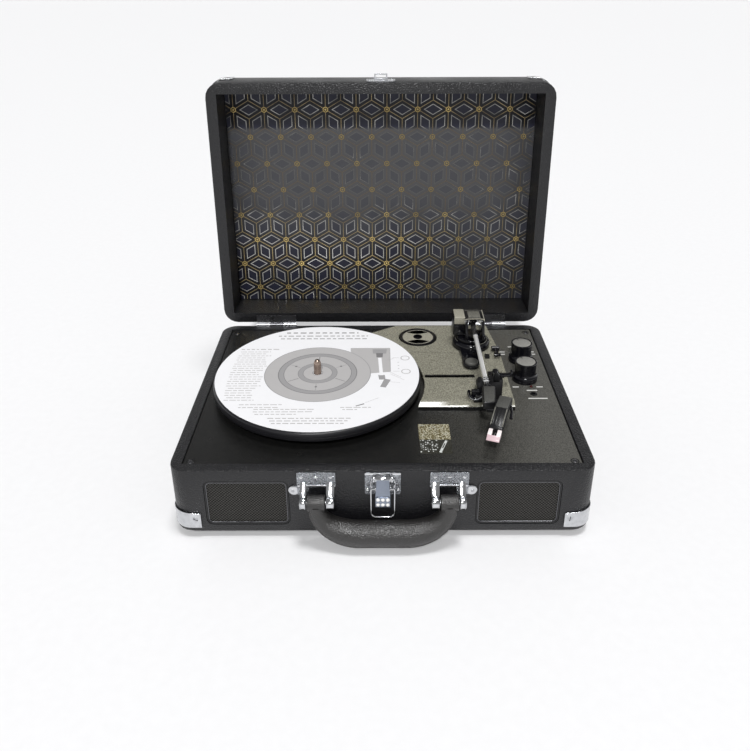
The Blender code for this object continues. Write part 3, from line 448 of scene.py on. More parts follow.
def turned(profile, at, steps=64, axis="Z", outline=None):
    """A profile of (radius, height) points turned round an axis. outline scales the radius by the angle."""
    part = bmesh.new()

    def ring(radius, height):
        for n in range(steps if radius else 1):
            turn = 2 * math.pi * n / steps
            reach = radius * (outline(n, height) if outline else 1)
            point = Vector((reach * math.cos(turn), reach * math.sin(turn), height))
            yield part.verts.new(AXES[axis] @ point + Vector(at))

    rings = [list(ring(*corner)) for corner in profile]
    for a, b in zip(rings, rings[1:]):
        for n in range(steps):
            m = (n + 1) % steps
            corners = dict.fromkeys((a[n % len(a)], a[m % len(a)], b[m % len(b)], b[n % len(b)]))
            if len(corners) > 2:
                part.faces.new(list(corners))
    if profile[0] == profile[-1]:
        bmesh.ops.remove_doubles(part, verts=part.verts, dist=0.0001)
    bmesh.ops.recalc_face_normals(part, faces=part.faces)
    return part


def sleeve(inner, outer, low, high, cut, at, steps, axis="Z", cut_along=None):
    """A cylinder with chamfered ends. It is hollow unless inner is 0. cut is the chamfer's width, and also
    its length along the axis unless cut_along gives one."""
    along = cut_along or cut
    profile = [(inner, low), (outer - cut, low), (outer, low + along), (outer, high - along),
               (outer - cut, high), (inner, high)]
    return turned(profile + profile[:1] if inner else profile, at, steps, axis)


def placed(outline, level, axis="Z"):
    """An outline across an axis. On X its points are (y, z), on Y they are (x, z), on Z they are (x, y)."""
    return [AXES[axis] @ Vector((u, v, level)) for u, v in outline]


def slab(outline, low, high, axis="Z", rounding=0.3, segments=2):
    """A flat outline with thickness along an axis."""
    part = bmesh.new()
    floor, roof = ([part.verts.new(p) for p in placed(outline, level, axis)] for level in (low, high))
    part.faces.new(floor)
    part.faces.new(roof)
    joined(part, floor, roof)
    bmesh.ops.recalc_face_normals(part, faces=part.faces)
    return bevelled(part, rounding, segments) if rounding else part


def tube(points, radius, sides=16, closed=False, squash=(1, 1)):
    """A round bar along points. radius is one number or one for each point. squash is (width, height)
    factors of its section, the height along the side nearest +Z or +Y."""
    part = bmesh.new()
    path = [Vector(p) for p in points]
    count = len(path)
    rings = []
    side = None
    for n, here in enumerate(path):
        before = path[n - 1] if n or closed else here
        after = path[(n + 1) % count] if n < count - 1 or closed else here
        ahead = (after - before).normalized()
        if side is None:
            up = Vector((0, 0, 1)) if abs(ahead.z) < 0.9 else Vector((0, 1, 0))
            side = ahead.cross(up).normalized()
        side = (side - ahead * side.dot(ahead)).normalized()
        over = side.cross(ahead).normalized()
        reach = radius[n] if isinstance(radius, list) else radius
        turns = [2 * math.pi * k / sides for k in range(sides)]
        rings.append([part.verts.new(here + side * math.cos(turn) * reach * squash[0]
                                     + over * math.sin(turn) * reach * squash[1]) for turn in turns])
    for a, b in zip(rings, rings[1:] + rings[:1] if closed else rings[1:]):
        joined(part, a, b)
    if not closed:
        part.faces.new(rings[0])
        part.faces.new(rings[-1])
    bmesh.ops.recalc_face_normals(part, faces=part.faces)
    return part


def lofted(loops, caps):
    """Joins closed loops of 3-D points, equal in length. caps says whether each end is closed."""
    part = bmesh.new()
    rings = [[part.verts.new(p) for p in loop] for loop in loops]
    for a, b in zip(rings, rings[1:]):
        joined(part, a, b)
    for wanted, ring in zip(caps, (rings[0], rings[-1])):
        if wanted:
            part.faces.new(ring)
    bmesh.ops.recalc_face_normals(part, faces=part.faces)
    return part


def arc(centre, radius, start, end, steps):
    angles = [math.radians(start + (end - start) * n / steps) for n in range(steps + 1)]
    return [(centre[0] + radius * math.cos(a), centre[1] + radius * math.sin(a)) for a in angles]


def rounded_rectangle(x0, x1, y0, y1, radius, steps=6):
    middles = [(x1 - radius, y1 - radius), (x0 + radius, y1 - radius),
               (x0 + radius, y0 + radius), (x1 - radius, y0 + radius)]
    return [point for n, middle in enumerate(middles)
            for point in arc(middle, radius, 90 * n, 90 * n + 90, steps)]


def row_at(part, outline, height):
    return [part.verts.new((*point, height)) for point in outline]


def flat(outline, height):
    part = bmesh.new()
    part.faces.new(row_at(part, outline, height))
    return part


def flat_ring(centre, inner, outer, height, steps=48):
    part = bmesh.new()
    rims = [row_at(part, arc(centre, r, 0, 360, steps)[:-1], height) for r in (inner, outer)]
    joined(part, rims[1], rims[0])
    return part


def flat_dot(centre, radius, height, steps):
    return flat_ring(centre, 0.0001, radius, height, steps)


def flat_bar(start, end, width, height):
    """A straight printed line."""
    start, end = Vector(start), Vector(end)
    across = (end - start).normalized().orthogonal() * width / 2
    return flat([start + across, end + across, end - across, start - across], height)


def shrunk(corners, share):
    middle = sum((Vector(c) for c in corners), Vector((0, 0))) / len(corners)
    return [middle + (Vector(c) - middle) * share for c in corners]


def outlined(corners, inner, height):
    """A band inside a closed outline; inner is the hole's share of the outline's size."""
    part = bmesh.new()
    joined(part, row_at(part, corners, height), row_at(part, shrunk(corners, inner), height))
    return part


def moved(part, matrix):
    bmesh.ops.transform(part, matrix=matrix, verts=part.verts)
    return part


FORWARD = Matrix.Rotation(math.pi / 2, 4, "X")  # stands a shape that points up on a front face


def dome(at, radius, height, steps=20):
    """A domed rivet head standing on a front face."""
    profile = [(0, height), (radius * 0.45, height * 0.9), (radius * 0.8, height * 0.55), (radius, 0),
               (radius, -0.2), (0, -0.2)]
    return moved(turned(profile, (0, 0, 0), steps), Matrix.Translation(at) @ FORWARD)


def to_rear(shapes, y, z=0):
    """Turns shapes made for the front face round to face the rear at y, raised by z."""
    for part, _ in shapes:
        moved(part, Matrix.Translation((0, y, z)) @ Matrix.Scale(-1, 4, (0, 1, 0)))
        bmesh.ops.recalc_face_normals(part, faces=part.faces)
    return shapes


def piece(name, body, slot, shapes, beside=False, smooth=SMOOTH_ANGLE, place=CASE):
    """One visible piece from (part, material) pairs. It rides on a body, and stands for the CAD node that
    its slot is named after unless it lies beside it."""
    mesh = bpy.data.meshes.new(name)
    whole = bmesh.new()
    for part, material in shapes:
        if material.name not in mesh.materials:
            mesh.materials.append(material)
        index = list(mesh.materials).index(material)
        for face in part.faces:
            face.material_index = index
        loose = bpy.data.meshes.new("loose")
        part.to_mesh(loose)
        part.free()
        whole.from_mesh(loose)
        bpy.data.meshes.remove(loose)
    moved(whole, place).to_mesh(mesh)
    whole.free()
    mesh.shade_smooth()
    mesh.set_sharp_from_angle(angle=math.radians(smooth))
    made = linked(name, mesh)
    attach(made, body)
    if not beside:
        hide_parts(slot)
    return made


def linked(name, data):
    """A new object in the scene."""
    made = bpy.data.objects.new(name, data)
    bpy.context.scene.collection.objects.link(made)
    return made


def thickened(made, thickness, offset=1):
    skin = made.modifiers.new("thickness", "SOLIDIFY")
    skin.thickness = thickness * MM
    skin.offset = offset


def printed(name, body, slot, shapes, thickness, place=CASE):
    """Flat shapes printed or stuck on a piece, as a thin film."""
    made = piece(name, body, slot, shapes, beside=True, place=place)
    thickened(made, thickness)
    made.data.shade_flat()


# ---------------------------------------------------------------- CAD nodes that stay

def welded_and_smooth():
    """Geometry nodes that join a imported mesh's loose triangles and shade it smooth."""
    tree = bpy.data.node_groups.new("welded_and_smooth", "GeometryNodeTree")
    for way in ("INPUT", "OUTPUT"):
        tree.interface.new_socket("Geometry", in_out=way, socket_type="NodeSocketGeometry")
    chain = [tree.nodes.new(kind) for kind in (
        "NodeGroupInput", "GeometryNodeRemoveAttribute", "GeometryNodeMergeByDistance",
        "GeometryNodeSetShadeSmooth", "GeometryNodeSetShadeSmooth", "NodeGroupOutput")]
    plain, weld, _, sharp = chain[1:5]
    plain.inputs["Name"].default_value = "custom_normal"
    weld.inputs["Distance"].default_value = 0.00001
    sharp.domain = "EDGE"
    sharp.inputs["Shade Smooth"].default_value = False
    angle = tree.nodes.new("GeometryNodeInputMeshEdgeAngle")
    wide = tree.nodes.new("FunctionNodeCompare")
    wide.operation = "GREATER_THAN"
    wide.inputs[1].default_value = math.radians(SMOOTH_ANGLE)
    tree.links.new(angle.outputs["Unsigned Angle"], wide.inputs[0])
    tree.links.new(wide.outputs["Result"], sharp.inputs["Selection"])
    for a, b in zip(chain, chain[1:]):
        tree.links.new(a.outputs[0], b.inputs[0])
    return tree


SMOOTHING = welded_and_smooth()


def rounded_edges(made, width):
    bevel = made.modifiers.new("edges", "BEVEL")
    bevel.width = width * MM
    bevel.segments = 2
    return bevel


def keep(material, *nodes, rounding=0):
    """Gives CAD nodes a material and smooth shading, with their sharp edges rounded a little."""
    for name in nodes:
        node = NODES[name]
        node.material_slots[0].material = material
        node.modifiers.new("smoothing", "NODES").node_group = SMOOTHING
        if rounding:
            bevel = rounded_edges(node, rounding)
            bevel.limit_method = "ANGLE"
            bevel.angle_limit = math.radians(SMOOTH_ANGLE)
            bevel.harden_normals = True


SIDES = (("left", -1), ("right", 1))
ENDS = (("front", False), ("rear", True))


def kept_nodes():
    keep(LEATHER, "base_case", "lid_case")
    keep(DECK, "deck_plate", rounding=0.25)
    keep(BLACK, "rear_jack_plate", "headphone_jack")
    keep(BOARD, "main_board", "control_board")
    keep(SATIN_STEEL, "motor", "hinge_pin_left", "hinge_pin_right")
    keep(BRASS, "motor_pulley", "bearing_bush")
    keep(RUBBER, "drive_belt", *(f"foot_{end}_{side}" for end, _ in ENDS for side, _ in SIDES))
    keep(CONE, "speaker_left", "speaker_right")
    keep(RED, "power_led")


# ---------------------------------------------------------------- the lid's lining

PATTERN = 32.4  # from one ring to the next along a row
ROW = 28.7
FIRST_ROW = 3.6
FIRST_COLUMN = 6.6
FILM = 0.02  # how far flat prints lie off the surface they are printed on
TIP = ROW * 2 / 3  # from a ring to the corner straight above it


def trimmed(part, low, high):
    """Cuts flat shapes off at a rectangle."""
    for n, axis in enumerate(((1, 0, 0), (0, 1, 0))):
        for edge, way in ((low, -1), (high, 1)):
            everything = list(part.verts) + list(part.edges) + list(part.faces)
            bmesh.ops.bisect_plane(part, geom=everything, plane_co=Vector(axis) * edge[n],
                                   plane_no=Vector(axis) * way, clear_outer=True)
    return part


def star(x, y, height):
    """One ring of the pattern with its six spokes and the three diamonds above and beside it."""
    half = PATTERN / 2
    up, over = (x + half, y + TIP / 2), (x, y + TIP)
    for corners in ([(x, y), up, (x + PATTERN, y), (x + half, y - TIP / 2)],
                    [(x, y), up, (x + half, y + ROW), over],
                    [(x, y), over, (x - half, y + ROW), (x - half, y + TIP / 2)]):
        yield outlined(shrunk(corners, 0.61), 0.85, height), SILVER
        yield flat(shrunk(corners, 0.5), height), NAVY
    for side in (1, -1):
        for spoke in ((0, TIP), (half, TIP / 2), (-half, TIP / 2)):
            way, ring = Vector((spoke[0], side * spoke[1])), Vector((x, y))
            yield flat_bar(ring + way.normalized() * 3, ring + way, 0.6, height), GOLD
    yield flat_ring((x, y), 2, 2.9, height, 20), GOLD_DOT
    yield flat_dot((x, y), 1.1, height, 10), GOLD_DOT


def lining():
    half = CASE_W / 2 - LID_WALL
    back = CASE_D - LID_WALL
    board = block((-half, LID_WALL, LINING_Z), (half, back, LINING_Z + 0.6), 0.1)
    piece("lining", "lid", "lid_lining", [(board, LINING)], place=LID)
    low, high = (-half + 0.3, LID_WALL + 0.3), (half - 0.3, back - 0.3)
    shapes = []
    for row in range(-1, 10):
        for column in range(-7, 7):
            x = FIRST_COLUMN + (column + (row % 2 == 0) / 2) * PATTERN
            if abs(x) <= half + PATTERN:
                shapes += star(x, FIRST_ROW + row * ROW, LINING_Z - FILM)
    for part, _ in shapes:
        trimmed(part, low, high)
        bmesh.ops.reverse_faces(part, faces=[f for f in part.faces if f.normal.z > 0])
    printed("lining_print", "lid", "lid_lining", shapes, 0.03, LID)


# ---------------------------------------------------------------- the deck

def screw_head(at, radius, turn, front=False, slotted=False):
    """A countersunk screw with a cross or a slot in its head, on the deck or on a front face."""
    height = 0.6 if front else 0.7
    reach = radius * (0.92 if slotted else 0.62)
    profile = [(0, height * 0.55), (radius * 0.5, height * 0.5), (radius * 0.86, height * 0.2),
               (radius, -0.25), (0, -0.25)]
    shapes = [(turned(profile, (0, 0, 0), 24), SATIN_STEEL)]
    for way in [turn] if slotted else [turn, turn + math.pi / 2]:
        mark = block((-reach, -radius * 0.13, height * 0.3), (reach, radius * 0.13, height * 0.62), 0)
        shapes.append((moved(mark, Matrix.Rotation(way, 4, "Z")), BLACK))
    put = Matrix.Translation(at) @ (FORWARD if front else Matrix.Identity(4))
    return [(moved(part, put), material) for part, material in shapes]


def deck_details():
    """Four screws in their cups, plain bars in place of the words on the deck, and a painted shade, a black
    sheet on the groove's floor.
    """
    cup = [(2.6, 0.05), (3.3, 0.3), (3.7, 0), (3.7, -0.2), (2.6, -0.2), (2.6, 0.05)]
    shapes = []
    for side, turn in ((-1, 0.4), (1, 1.1)):
        for y in (13.7, CASE_D - 17):
            at = (side * (CASE_W / 2 - 16.5), y, DECK_TOP)
            shapes.append((turned(cup, at, 28), BLACK))
            shapes += [(part, DARK_STEEL) for part, _ in screw_head(at, 2.4, turn + y)]
    piece("deck_screws", "base", "deck_plate", shapes, beside=True)
    marks = []
    for at, bars in ((SOURCE, ((-8.5, -2, 28), (-20, -13.5, 17), (-20, -14, 12), (13.4, 17, 17),
                               (13.6, 17.4, 12))),
                     (VOLUME, ((-14, -8, -14.5), (9, 15, -14.5), (-1.5, 8.5, -20.8), (-2.5, 15.5, -35)))):
        for start, end, v in bars:
            line = flat_bar((at.x + start, at.y + v), (at.x + end, at.y + v), 1.7, DECK_TOP + FILM)
            marks.append((line, INK))
    # Painted shade: a black sheet on the floor of the wide groove.
    groove_floor = PLATEAU - 2.38
    groove = [(42, 137.5), (83.9, 137.5), (83.9, 139.8), (42, 139.8)]
    printed("deck_marks_and_groove_shade", "base", "deck_plate", marks + [(flat(groove, groove_floor), BLACK)], 0.04)


def label():
    """A small seal stuck on the deck: a glittering upper half over a dark half with plain marks."""
    x0, x1, y0, y1 = 31.7, 59, 24, 67
    split = 44
    rng = random.Random(4)
    top = DECK_TOP + FILM
    over = top + 0.03
    shapes = [(flat([(x0, split), (x1, split), (x1, y1), (x0, y1)], top), LABEL_GOLD),
              (flat([(x0, y0), (x1, y0), (x1, split), (x0, split)], top), LABEL_DARK)]
    for row in range(7):
        for column in range(8):
            if rng.random() < 0.62:
                u = x0 + 1.2 + column * 1.95 + rng.uniform(-0.4, 0.4)
                v = split - 1.6 - row * 2.6 + rng.uniform(-0.5, 0.5)
                shapes.append((flat(arc((u, v), rng.uniform(0.35, 0.9), 0, 315, 7), over), LABEL_PALE))
    slant = [(x0 + 16.6, y0 + 4), (x0 + 18.6, y0 + 3.4), (x0 + 24.2, y0 + 18), (x0 + 22.2, y0 + 18.8)]
    shapes += [(outlined(slant, 0.45, over), LABEL_PALE),
               (flat_dot((x0 + 17.3, y0 + 2.6), 1.3, over, 12), LABEL_PALE)]
    for n in range(26):
        u, v = rng.uniform(x0 + 1, x1 - 3), rng.uniform(split + 1.5, y1 - 1.5)
        end = (u + rng.uniform(0.8, 2.4), v + rng.uniform(-1, 1))
        shapes.append((flat_bar((u, v), end, 0.5, over), LABEL_DARK if n % 3 else LABEL_PALE))
    printed("label", "base", "deck_plate", shapes, 0.02)


def spindle_and_platter():
    x, y, _ = PLATTER
    r, top, rim, ring = 98, 15.4, 6.8, 58
    under = top - 2.8
    profile = [(3.8, top - 0.3), (4.2, top), (r - 3.6, top), (r - 2.2, top - 0.12), (r - 0.9, top - 0.55),
               (r - 0.25, top - 1.2), (r, top - 2), (r, top - 4.6), (r - 0.35, top - 4.8),
               (r - 0.35, top - 5.1), (r, top - 5.3), (r, rim + 0.9), (r - 0.3, rim + 0.3), (r - 1, rim),
               (r - 3.5, rim), (r - 3.5, under), (ring + 2.5, under), (ring + 2.5, 5.5), (ring, 5.5),
               (ring, under), (14, under), (14, PLATTER_LOW), (3.8, PLATTER_LOW), (3.8, top - 0.3)]
    wheel = turned(profile, (x, y, 0), 144)
    piece("platter_wheel", "platter", "platter", [(wheel, PLATTER_BLACK)], smooth=28)
    nose = ((0, 0), (0.9, 0.08), (1.8, 0.5), (2.5, 1.3), (2.9, 2.2), (3.2, 3.2), (3.35, 3.5), (3.45, 4.6),
            (3.5, 5.4))
    post = [(radius, SPINDLE_TOP - drop) for radius, drop in nose] + [(3.5, 3), (3, 2.4), (3, -16), (0, -16)]
    piece("spindle_post", "platter", "spindle", [(turned(post, (x, y, 0), 40), BRASS)])


def instruction_card():
    x, y, _ = PLATTER
    hole, edge, low = 3.9, CARD_R, CARD_TOP - 0.5
    disc = turned([(hole, CARD_TOP), (edge - 0.1, CARD_TOP), (edge, CARD_TOP - 0.1), (edge, low),
                   (hole, low), (hole, CARD_TOP)], (x, y, 0), 128)
    piece("card", "platter", "card_disc", [(disc, CARD)])
    rng = random.Random(11)
    shapes = []

    def put(part, material, lift=0):  # lifts in hundredths keep overlapping prints apart
        shapes.append((moved(part, Matrix.Translation((x, y, CARD_TOP + 0.01 + lift))), material))

    def line(start, end, width, material=PRINT_PALE, lift=0):
        put(flat_bar(start, end, width, 0), material, lift)

    def rule(start, end, v, width, material=PRINT_PALE):
        """A row of plain dashes, in place of printed words."""
        while start < end - 1:
            dash = min(rng.uniform(2.2, 6.5), end - start)
            line((start, v), (start + dash, v), width, material)
            start += dash + width * 1.1

    put(flat([(30, 42.5), (30, 49), (69.5, 49), (69.5, 2), (50, -1)], 0), PRINT_PALE)
    put(flat_ring((0, 0), 4.6, 50.7, 0, 96), PRINT_PALE, 0.012)
    for inner, outer, dark in ((49.9, 50.7, False), (31.8, 37.6, False), (36.9, 37.6, True),
                               (31.8, 32.3, True), (13.6, 18.8, False), (18.4, 18.8, True),
                               (13.6, 14, True), (4.4, 5, True)):
        put(flat_ring((0, 0), inner, outer, 0, 96), *((PRINT_DARK, 0.034) if dark else (PRINT_MID, 0.024)))
    for n in range(6):
        turn = math.radians(30 + 60 * n)
        way = Vector((math.cos(turn), math.sin(turn)))
        line(way * 20, way * 31, 0.7, PRINT_DARK if n % 2 else PRINT_MID, 0.03)
    for turn in (150, 30, 270):
        centre = (25 * math.cos(math.radians(turn)), 25 * math.sin(math.radians(turn)))
        put(flat_dot(centre, 1.2, 0, 14), PRINT_DARK, 0.03)
    line((30, 48.9), (69.5, 48.9), 0.5, PRINT_MID, 0.014)
    line((69.4, 49), (69.4, 3), 0.5, PRINT_MID, 0.014)
    for corners, material, lift in (
            ([(52.5, 37.5), (65.5, 37.5), (66.5, 46.5), (52, 46.5)], PRINT_MID, 0.014),
            ([(56, 30), (62, 30), (62.5, 38.5), (55.5, 38.5)], PRINT_DARK, 0.024),
            ([(57.6, -4), (63.8, -4), (64.4, -12.4), (58.4, -12.4)], PRINT_MID, 0.024),
            ([(63.5, -11), (69.4, -12.8), (64.4, -26.6), (59.2, -25.2)], PRINT_MID, 0.014),
            ([(38, -58), (45.4, -54.4), (44.6, -53.2), (37.4, -57)], PRINT_DARK, 0)):
        put(flat(corners, 0), material, lift)
    line((59.2, 29), (60.6, -4.6), 3.4, CARD, 0.034)
    for v in (27, 1):
        put(outlined(rounded_rectangle(79.6, 88.6, v - 3, v + 6, 4.3), 0.8, 0), PRINT_PALE)
        line((72, v + 2), (78, v + 2), 0.5)
    for v in (20, 14, 8):
        line((76.5, v), (78, v), 0.6, PRINT_MID)
    for start, end in (((66, 4), (79, -8)), ((69, -2), (82, -13)), ((66, 24), (73, 28)),
                       ((66, -16), (78, -18)), ((58, -44), (46, -52))):
        line(start, end, 0.35)
    rule(-38, 37, 82.4, 2.5, PRINT_MID)
    rule(-46, 47, 75.4, 1.9, PRINT_MID)
    rule(-43, 46, 69.4, 1.9, PRINT_MID)
    rule(-80, -41, 46.8, 1.5)
    for row in range(23):
        start = -80 - 3.5 * math.sin(row * 0.13) + (2 if row % 4 == 1 else 0)
        end = -47 - 4 * math.sin(math.pi * row / 30) - rng.uniform(0, 7)
        rule(start, end, 41.6 - row * 4.05, 1)
    for v, start, end in ((-55, -66, -28), (-59.5, -66, -30), (-62.5, -52, 2), (-66.4, -52, 1),
                          (-70.2, -50, -14), (-59.6, 24, 52), (-63, 26, 40), (-76.5, -38, 34),
                          (-80.4, -36, 32), (-84.2, -34, 28)):
        rule(start, end, v, 1.25 if v < -76 else 1.05)
    printed("card_print", "platter", "card_disc", shapes, 0.012)


def knob(name, at):
    """A glossy fluted skirt with a flange at its foot, and a paler, slightly domed top."""
    x, y, _ = at
    low = DECK_TOP + 0.4
    skirt = [(9.3, 19.5), (10.2, 19.7), (10.6, 19.4), (10.7, 18.9), (10.45, 17.8), (10.25, 16),
             (10.15, 9.5), (10.25, 7.4), (10.6, 6), (11.3, 5.1), (11.95, 4.6), (12.2, 3.9), (12.2, low),
             (8.5, low), (8.5, 19), (9.3, 19.5)]
    top = [(0, 20), (2.5, 19.97), (5, 19.86), (7.2, 19.66), (8.7, 19.42), (9.3, 19.2), (9.35, 18.8),
           (0, 18.8)]

    def fluted(n, height):
        return 1 - 0.012 * (n % 3 == 0) * (7.5 < height < 18.5)

    mark = moved(block((-0.35, 4.9, 19.3), (0.35, 8.6, 19.93), 0),
                 Matrix.Translation((x, y, 0)) @ Matrix.Rotation(0.5, 4, "Z"))
    shapes = [(turned(skirt, (x, y, 0), 96, outline=fluted), GLOSS),
              (turned(top, (x, y, 0), 72), KNOB_TOP), (mark, BLACK)]
    piece(name + "_turned", name, name, shapes, smooth=30)


def adapter():
    """The adapter for records with a wide hole: a black ring, a pale web and two dark windows."""
    x, y, _ = ADAPTER
    r, low = 19.3, 2.9
    body = [(3.65, 6.2), (4.1, 6.5), (4.4, 6.2), (4.4, 5.6), (16.3, 5.6), (16.6, 6.7), (17.2, 7), (18.5, 7),
            (19.1, 6.7), (r, 6.2), (r, low), (3.65, low), (3.65, 6.4)]
    web = [(4.4, 6.1), (16.2, 6.1), (16.2, 5.5), (4.4, 5.5), (4.4, 6.1)]
    hub = [(3.7, 6.9), (3.9, 7), (4.5, 7), (4.8, 6.7), (4.8, 6), (3.7, 6), (3.7, 6.9)]
    shapes = [(turned(body, (x, y, 0), 96), GLOSS), (turned(web, (x, y, 0), 72), PALE_TOP_AND_HIGHLIGHT)]
    for turn, side in ((90, 1), (270, -1)):
        outer = arc((x, y), 14.6, turn - 50, turn + 50, 16)
        bow = arc((x, y + side * 24.4), 17.2, turn + 180 + 36, turn + 180 - 36, 12)
        shapes.append((slab(outer + bow, 6, 6.6, rounding=0.2), GLOSS))
    shapes.append((turned(hub, (x, y, 0), 48), GLOSS))
    piece("adapter", "adapter_45", "adapter_45", shapes, smooth=30)


def switch(name):
    x, y, _ = middle_of(name)
    low, high = PLATEAU + 0.3, PLATEAU + 3
    shapes = [(block((x - 2.4, y - 2.6, low), (x + 2.4, y + 2.6, high), 0.5), BLACK),
              (block((x - 1, y - 1.5, -6), (x + 1, y + 1.5, low + 0.5), 0), BLACK)]
    for v in (y - 1.7, y - 0.4, y + 0.9):
        shapes.append((block((x - 2.1, v, high - 0.2), (x + 2.1, v + 0.6, high), 0.05), GREY_TOP_AND_HIGHLIGHT))
    piece(name + "_cap", name, name, shapes)


# ---------------------------------------------------------------- the front and the shell

def grilles():
    for name, _ in SIDES:
        low, high = extent("grille_" + name)

        def outline(inset, depth):
            edges = (low.x + inset, high.x - inset, low.z + inset, high.z - inset)
            return placed(rounded_rectangle(*edges, 5.7 - inset, 8), low.y + depth, "Y")

        frame_loops = [outline(inset, depth) for inset, depth in (
            (0, high.y - low.y), (0, 0.35), (0.1, 0.1), (0.4, 0), (1, 0), (1.3, 0.12), (1.45, 0.4), (1.6, 1))]
        shapes = [(lofted(frame_loops, (True, False)), BLACK),
                  (lofted([outline(1.6, 1), outline(2.6, 0.8)], (False, True)), MESH),
                  (tube(outline(1.9, 0.55), 0.42, 8, closed=True), DARK_STEEL)]
        piece("speaker_grille_" + name, "base", "grille_" + name, shapes)


CORNER_REACH = 8.5  # how far a protector runs along each side, past the case's rounded corner
CORNER_RADIUS = 15
CORNER_SHEET = 0.8


def corner_sheet(side, rear, level, shoulder, crest):
    """A sheet wrapped round one corner. One edge is level, and the other waves up to a crest at the bend."""
    half, out = CASE_W / 2, 0.3 + CORNER_SHEET / 2
    start, steps, rows = half - CORNER_RADIUS, 5, 6
    path = [(start - CORNER_REACH * (1 - n / steps), -out) for n in range(steps)]
    path += arc((start, CORNER_RADIUS), CORNER_RADIUS + out, -90, 0, 22)
    path += [(half + out, CORNER_RADIUS + CORNER_REACH * (n + 1) / steps) for n in range(steps)]
    part = bmesh.new()
    grid = []
    for n, (x, y) in enumerate(path):
        share = n / (len(path) - 1)
        swell = math.sin(math.pi * share) ** 0.8
        wave = 0.45 * math.sin(2 * math.pi * share * 5) * math.sin(math.pi * share)
        tip = shoulder + (crest - shoulder) * (swell + wave * 0.12)
        grid.append([part.verts.new((side * x, CASE_D - y if rear else y, level + (tip - level) * k / rows))
                     for k in range(rows + 1)])
    for a, b in zip(grid, grid[1:]):
        for k in range(rows):
            part.faces.new((a[k], b[k], b[k + 1], a[k + 1]))
    return part


def corner_protectors():
    """Thin metal caps on the eight corners, each with a slotted screw."""
    for case, place, level, shoulder, crest, shift in (
            ("base", CASE, -BASE_H + 3.9, -43.2, -41.6, 1.6), ("lid", LID, 41.6, 26.7, 25.2, -1.6)):
        for end, rear in ENDS:
            for name, side in SIDES:
                node = f"{case}_corner_{end}_{name}"
                part = corner_sheet(side, rear, level, shoulder, crest)
                sheet = piece(node + "_sheet", case, node, [(part, CORNER_METAL)], place=place)
                thickened(sheet, CORNER_SHEET, 0)
                rounded_edges(sheet, 0.25)
                at = (side * (CASE_W / 2 - 19), -1.15, (level + shoulder) / 2 + shift)
                screw = screw_head(at, 2.3, 0.5 + side, front=True, slotted=True)
                if rear:
                    to_rear(screw, CASE_D)
                piece(node + "_screw", case, node, screw, beside=True, place=place)


def latch():
    """The plate with its arched boss and ears, the lever with its finger bumps, and the wire loop."""
    y, z = LEVER.y, LEVER.z
    face = -1.3
    boss = [(9.9 * math.cos(a), face - 0.45, -11.5 + 9.2 * math.sin(a))
            for a in map(math.radians, range(-35, 216, 8))]
    lip = rounded_rectangle(-14.7, 14.7, -3, -0.9, 0.8)
    shapes = [(slab(rounded_rectangle(-14.7, 14.7, -22.6, -0.8, 2), face, -0.3, "Y"), PRESSED),
              (slab(lip, face - 0.5, face + 0.2, "Y", 0.25), CHROME), (tube(boss, 0.65, 10), CHROME)]
    for side in (-1, 1):
        ear = [(-0.9, -1.4), (-0.9, -13)] + arc((y, z), 3, 270, 100, 10)
        cap = [(0, side * 0.5), (0.8, side * 0.35), (1.25, 0), (0, 0)]
        shapes += [(slab(ear, *sorted((side * 6.7, side * 8.1)), "X", 0.2), CHROME),
                   (dome((side * 12.2, face, -18.2), 1.7, 0.8), CHROME),
                   (dome((side * 11.9, face, -13), 1.3, 0.5), DARK_STEEL),
                   (turned(cap, (side * 8.1, y, z), 16, "X"), CHROME)]
    shapes.append((turned([(0, -8), (1.1, -8), (1.1, 8), (0, 8)], (0, y, z), 20, "X"), SATIN_STEEL))
    piece("latch_base_plate", "base", "latch_plate", shapes)

    tail = slab([(-5.9, -5), (-6.1, -12), (-6.2, -18), (-6.5, -24.5), (-6.9, -30.4), (-7.3, -31),
                 (-7.9, -30.8), (-7.7, -24.5), (-7.5, -18), (-7.2, -11), (-6.8, -4)], -6.2, 6.2, "X")
    for vertex in tail.verts:
        vertex.co.x *= 0.86 + 0.14 * min(1, max(0, (-9 - vertex.co.z) / 11))
    shapes = [(sleeve(1.5, 2.6, -6.3, 6.3, 0.2, (0, y, z), 32, "X", 0.3), CHROME),
              (sleeve(1.15, 1.9, -6.1, 6.1, 0.2, (0, LOOP.y, LOOP.z), 24, "X"), CHROME), (tail, BLUE_STEEL),
              (slab(rounded_rectangle(-6.1, 6.1, -30.4, -20.2, 1.2), -8.35, -7.3, "Y"), BLUE_STEEL)]
    for column in (-4, 0, 4):
        for row in (-22.7, -27.6):
            shapes.append((dome((column, -8.3, row), 1.75, 1.15, 16), BUMP_METAL))
    piece("latch_lever_arm", "latch_lever", "latch_lever", shapes)

    y, z = LOOP.y, LOOP.z
    wide, bottom = 9.6, z - 27.5
    right = [(2.5, y, z), (wide - 1.2, y, z), (wide - 0.35, y, z - 0.3), (wide, y, z - 1.2)]
    right += [(x, y - (z - h) * 0.04, h) for x, h in arc((wide - 4.5, bottom + 4.5), 4.5, 0, -90, 12)]
    wire = right + [(-x, across, h) for x, across, h in reversed(right)]
    piece("latch_wire", "latch_loop", "latch_loop", [(tube(wire, 0.8, 14), CHROME)])


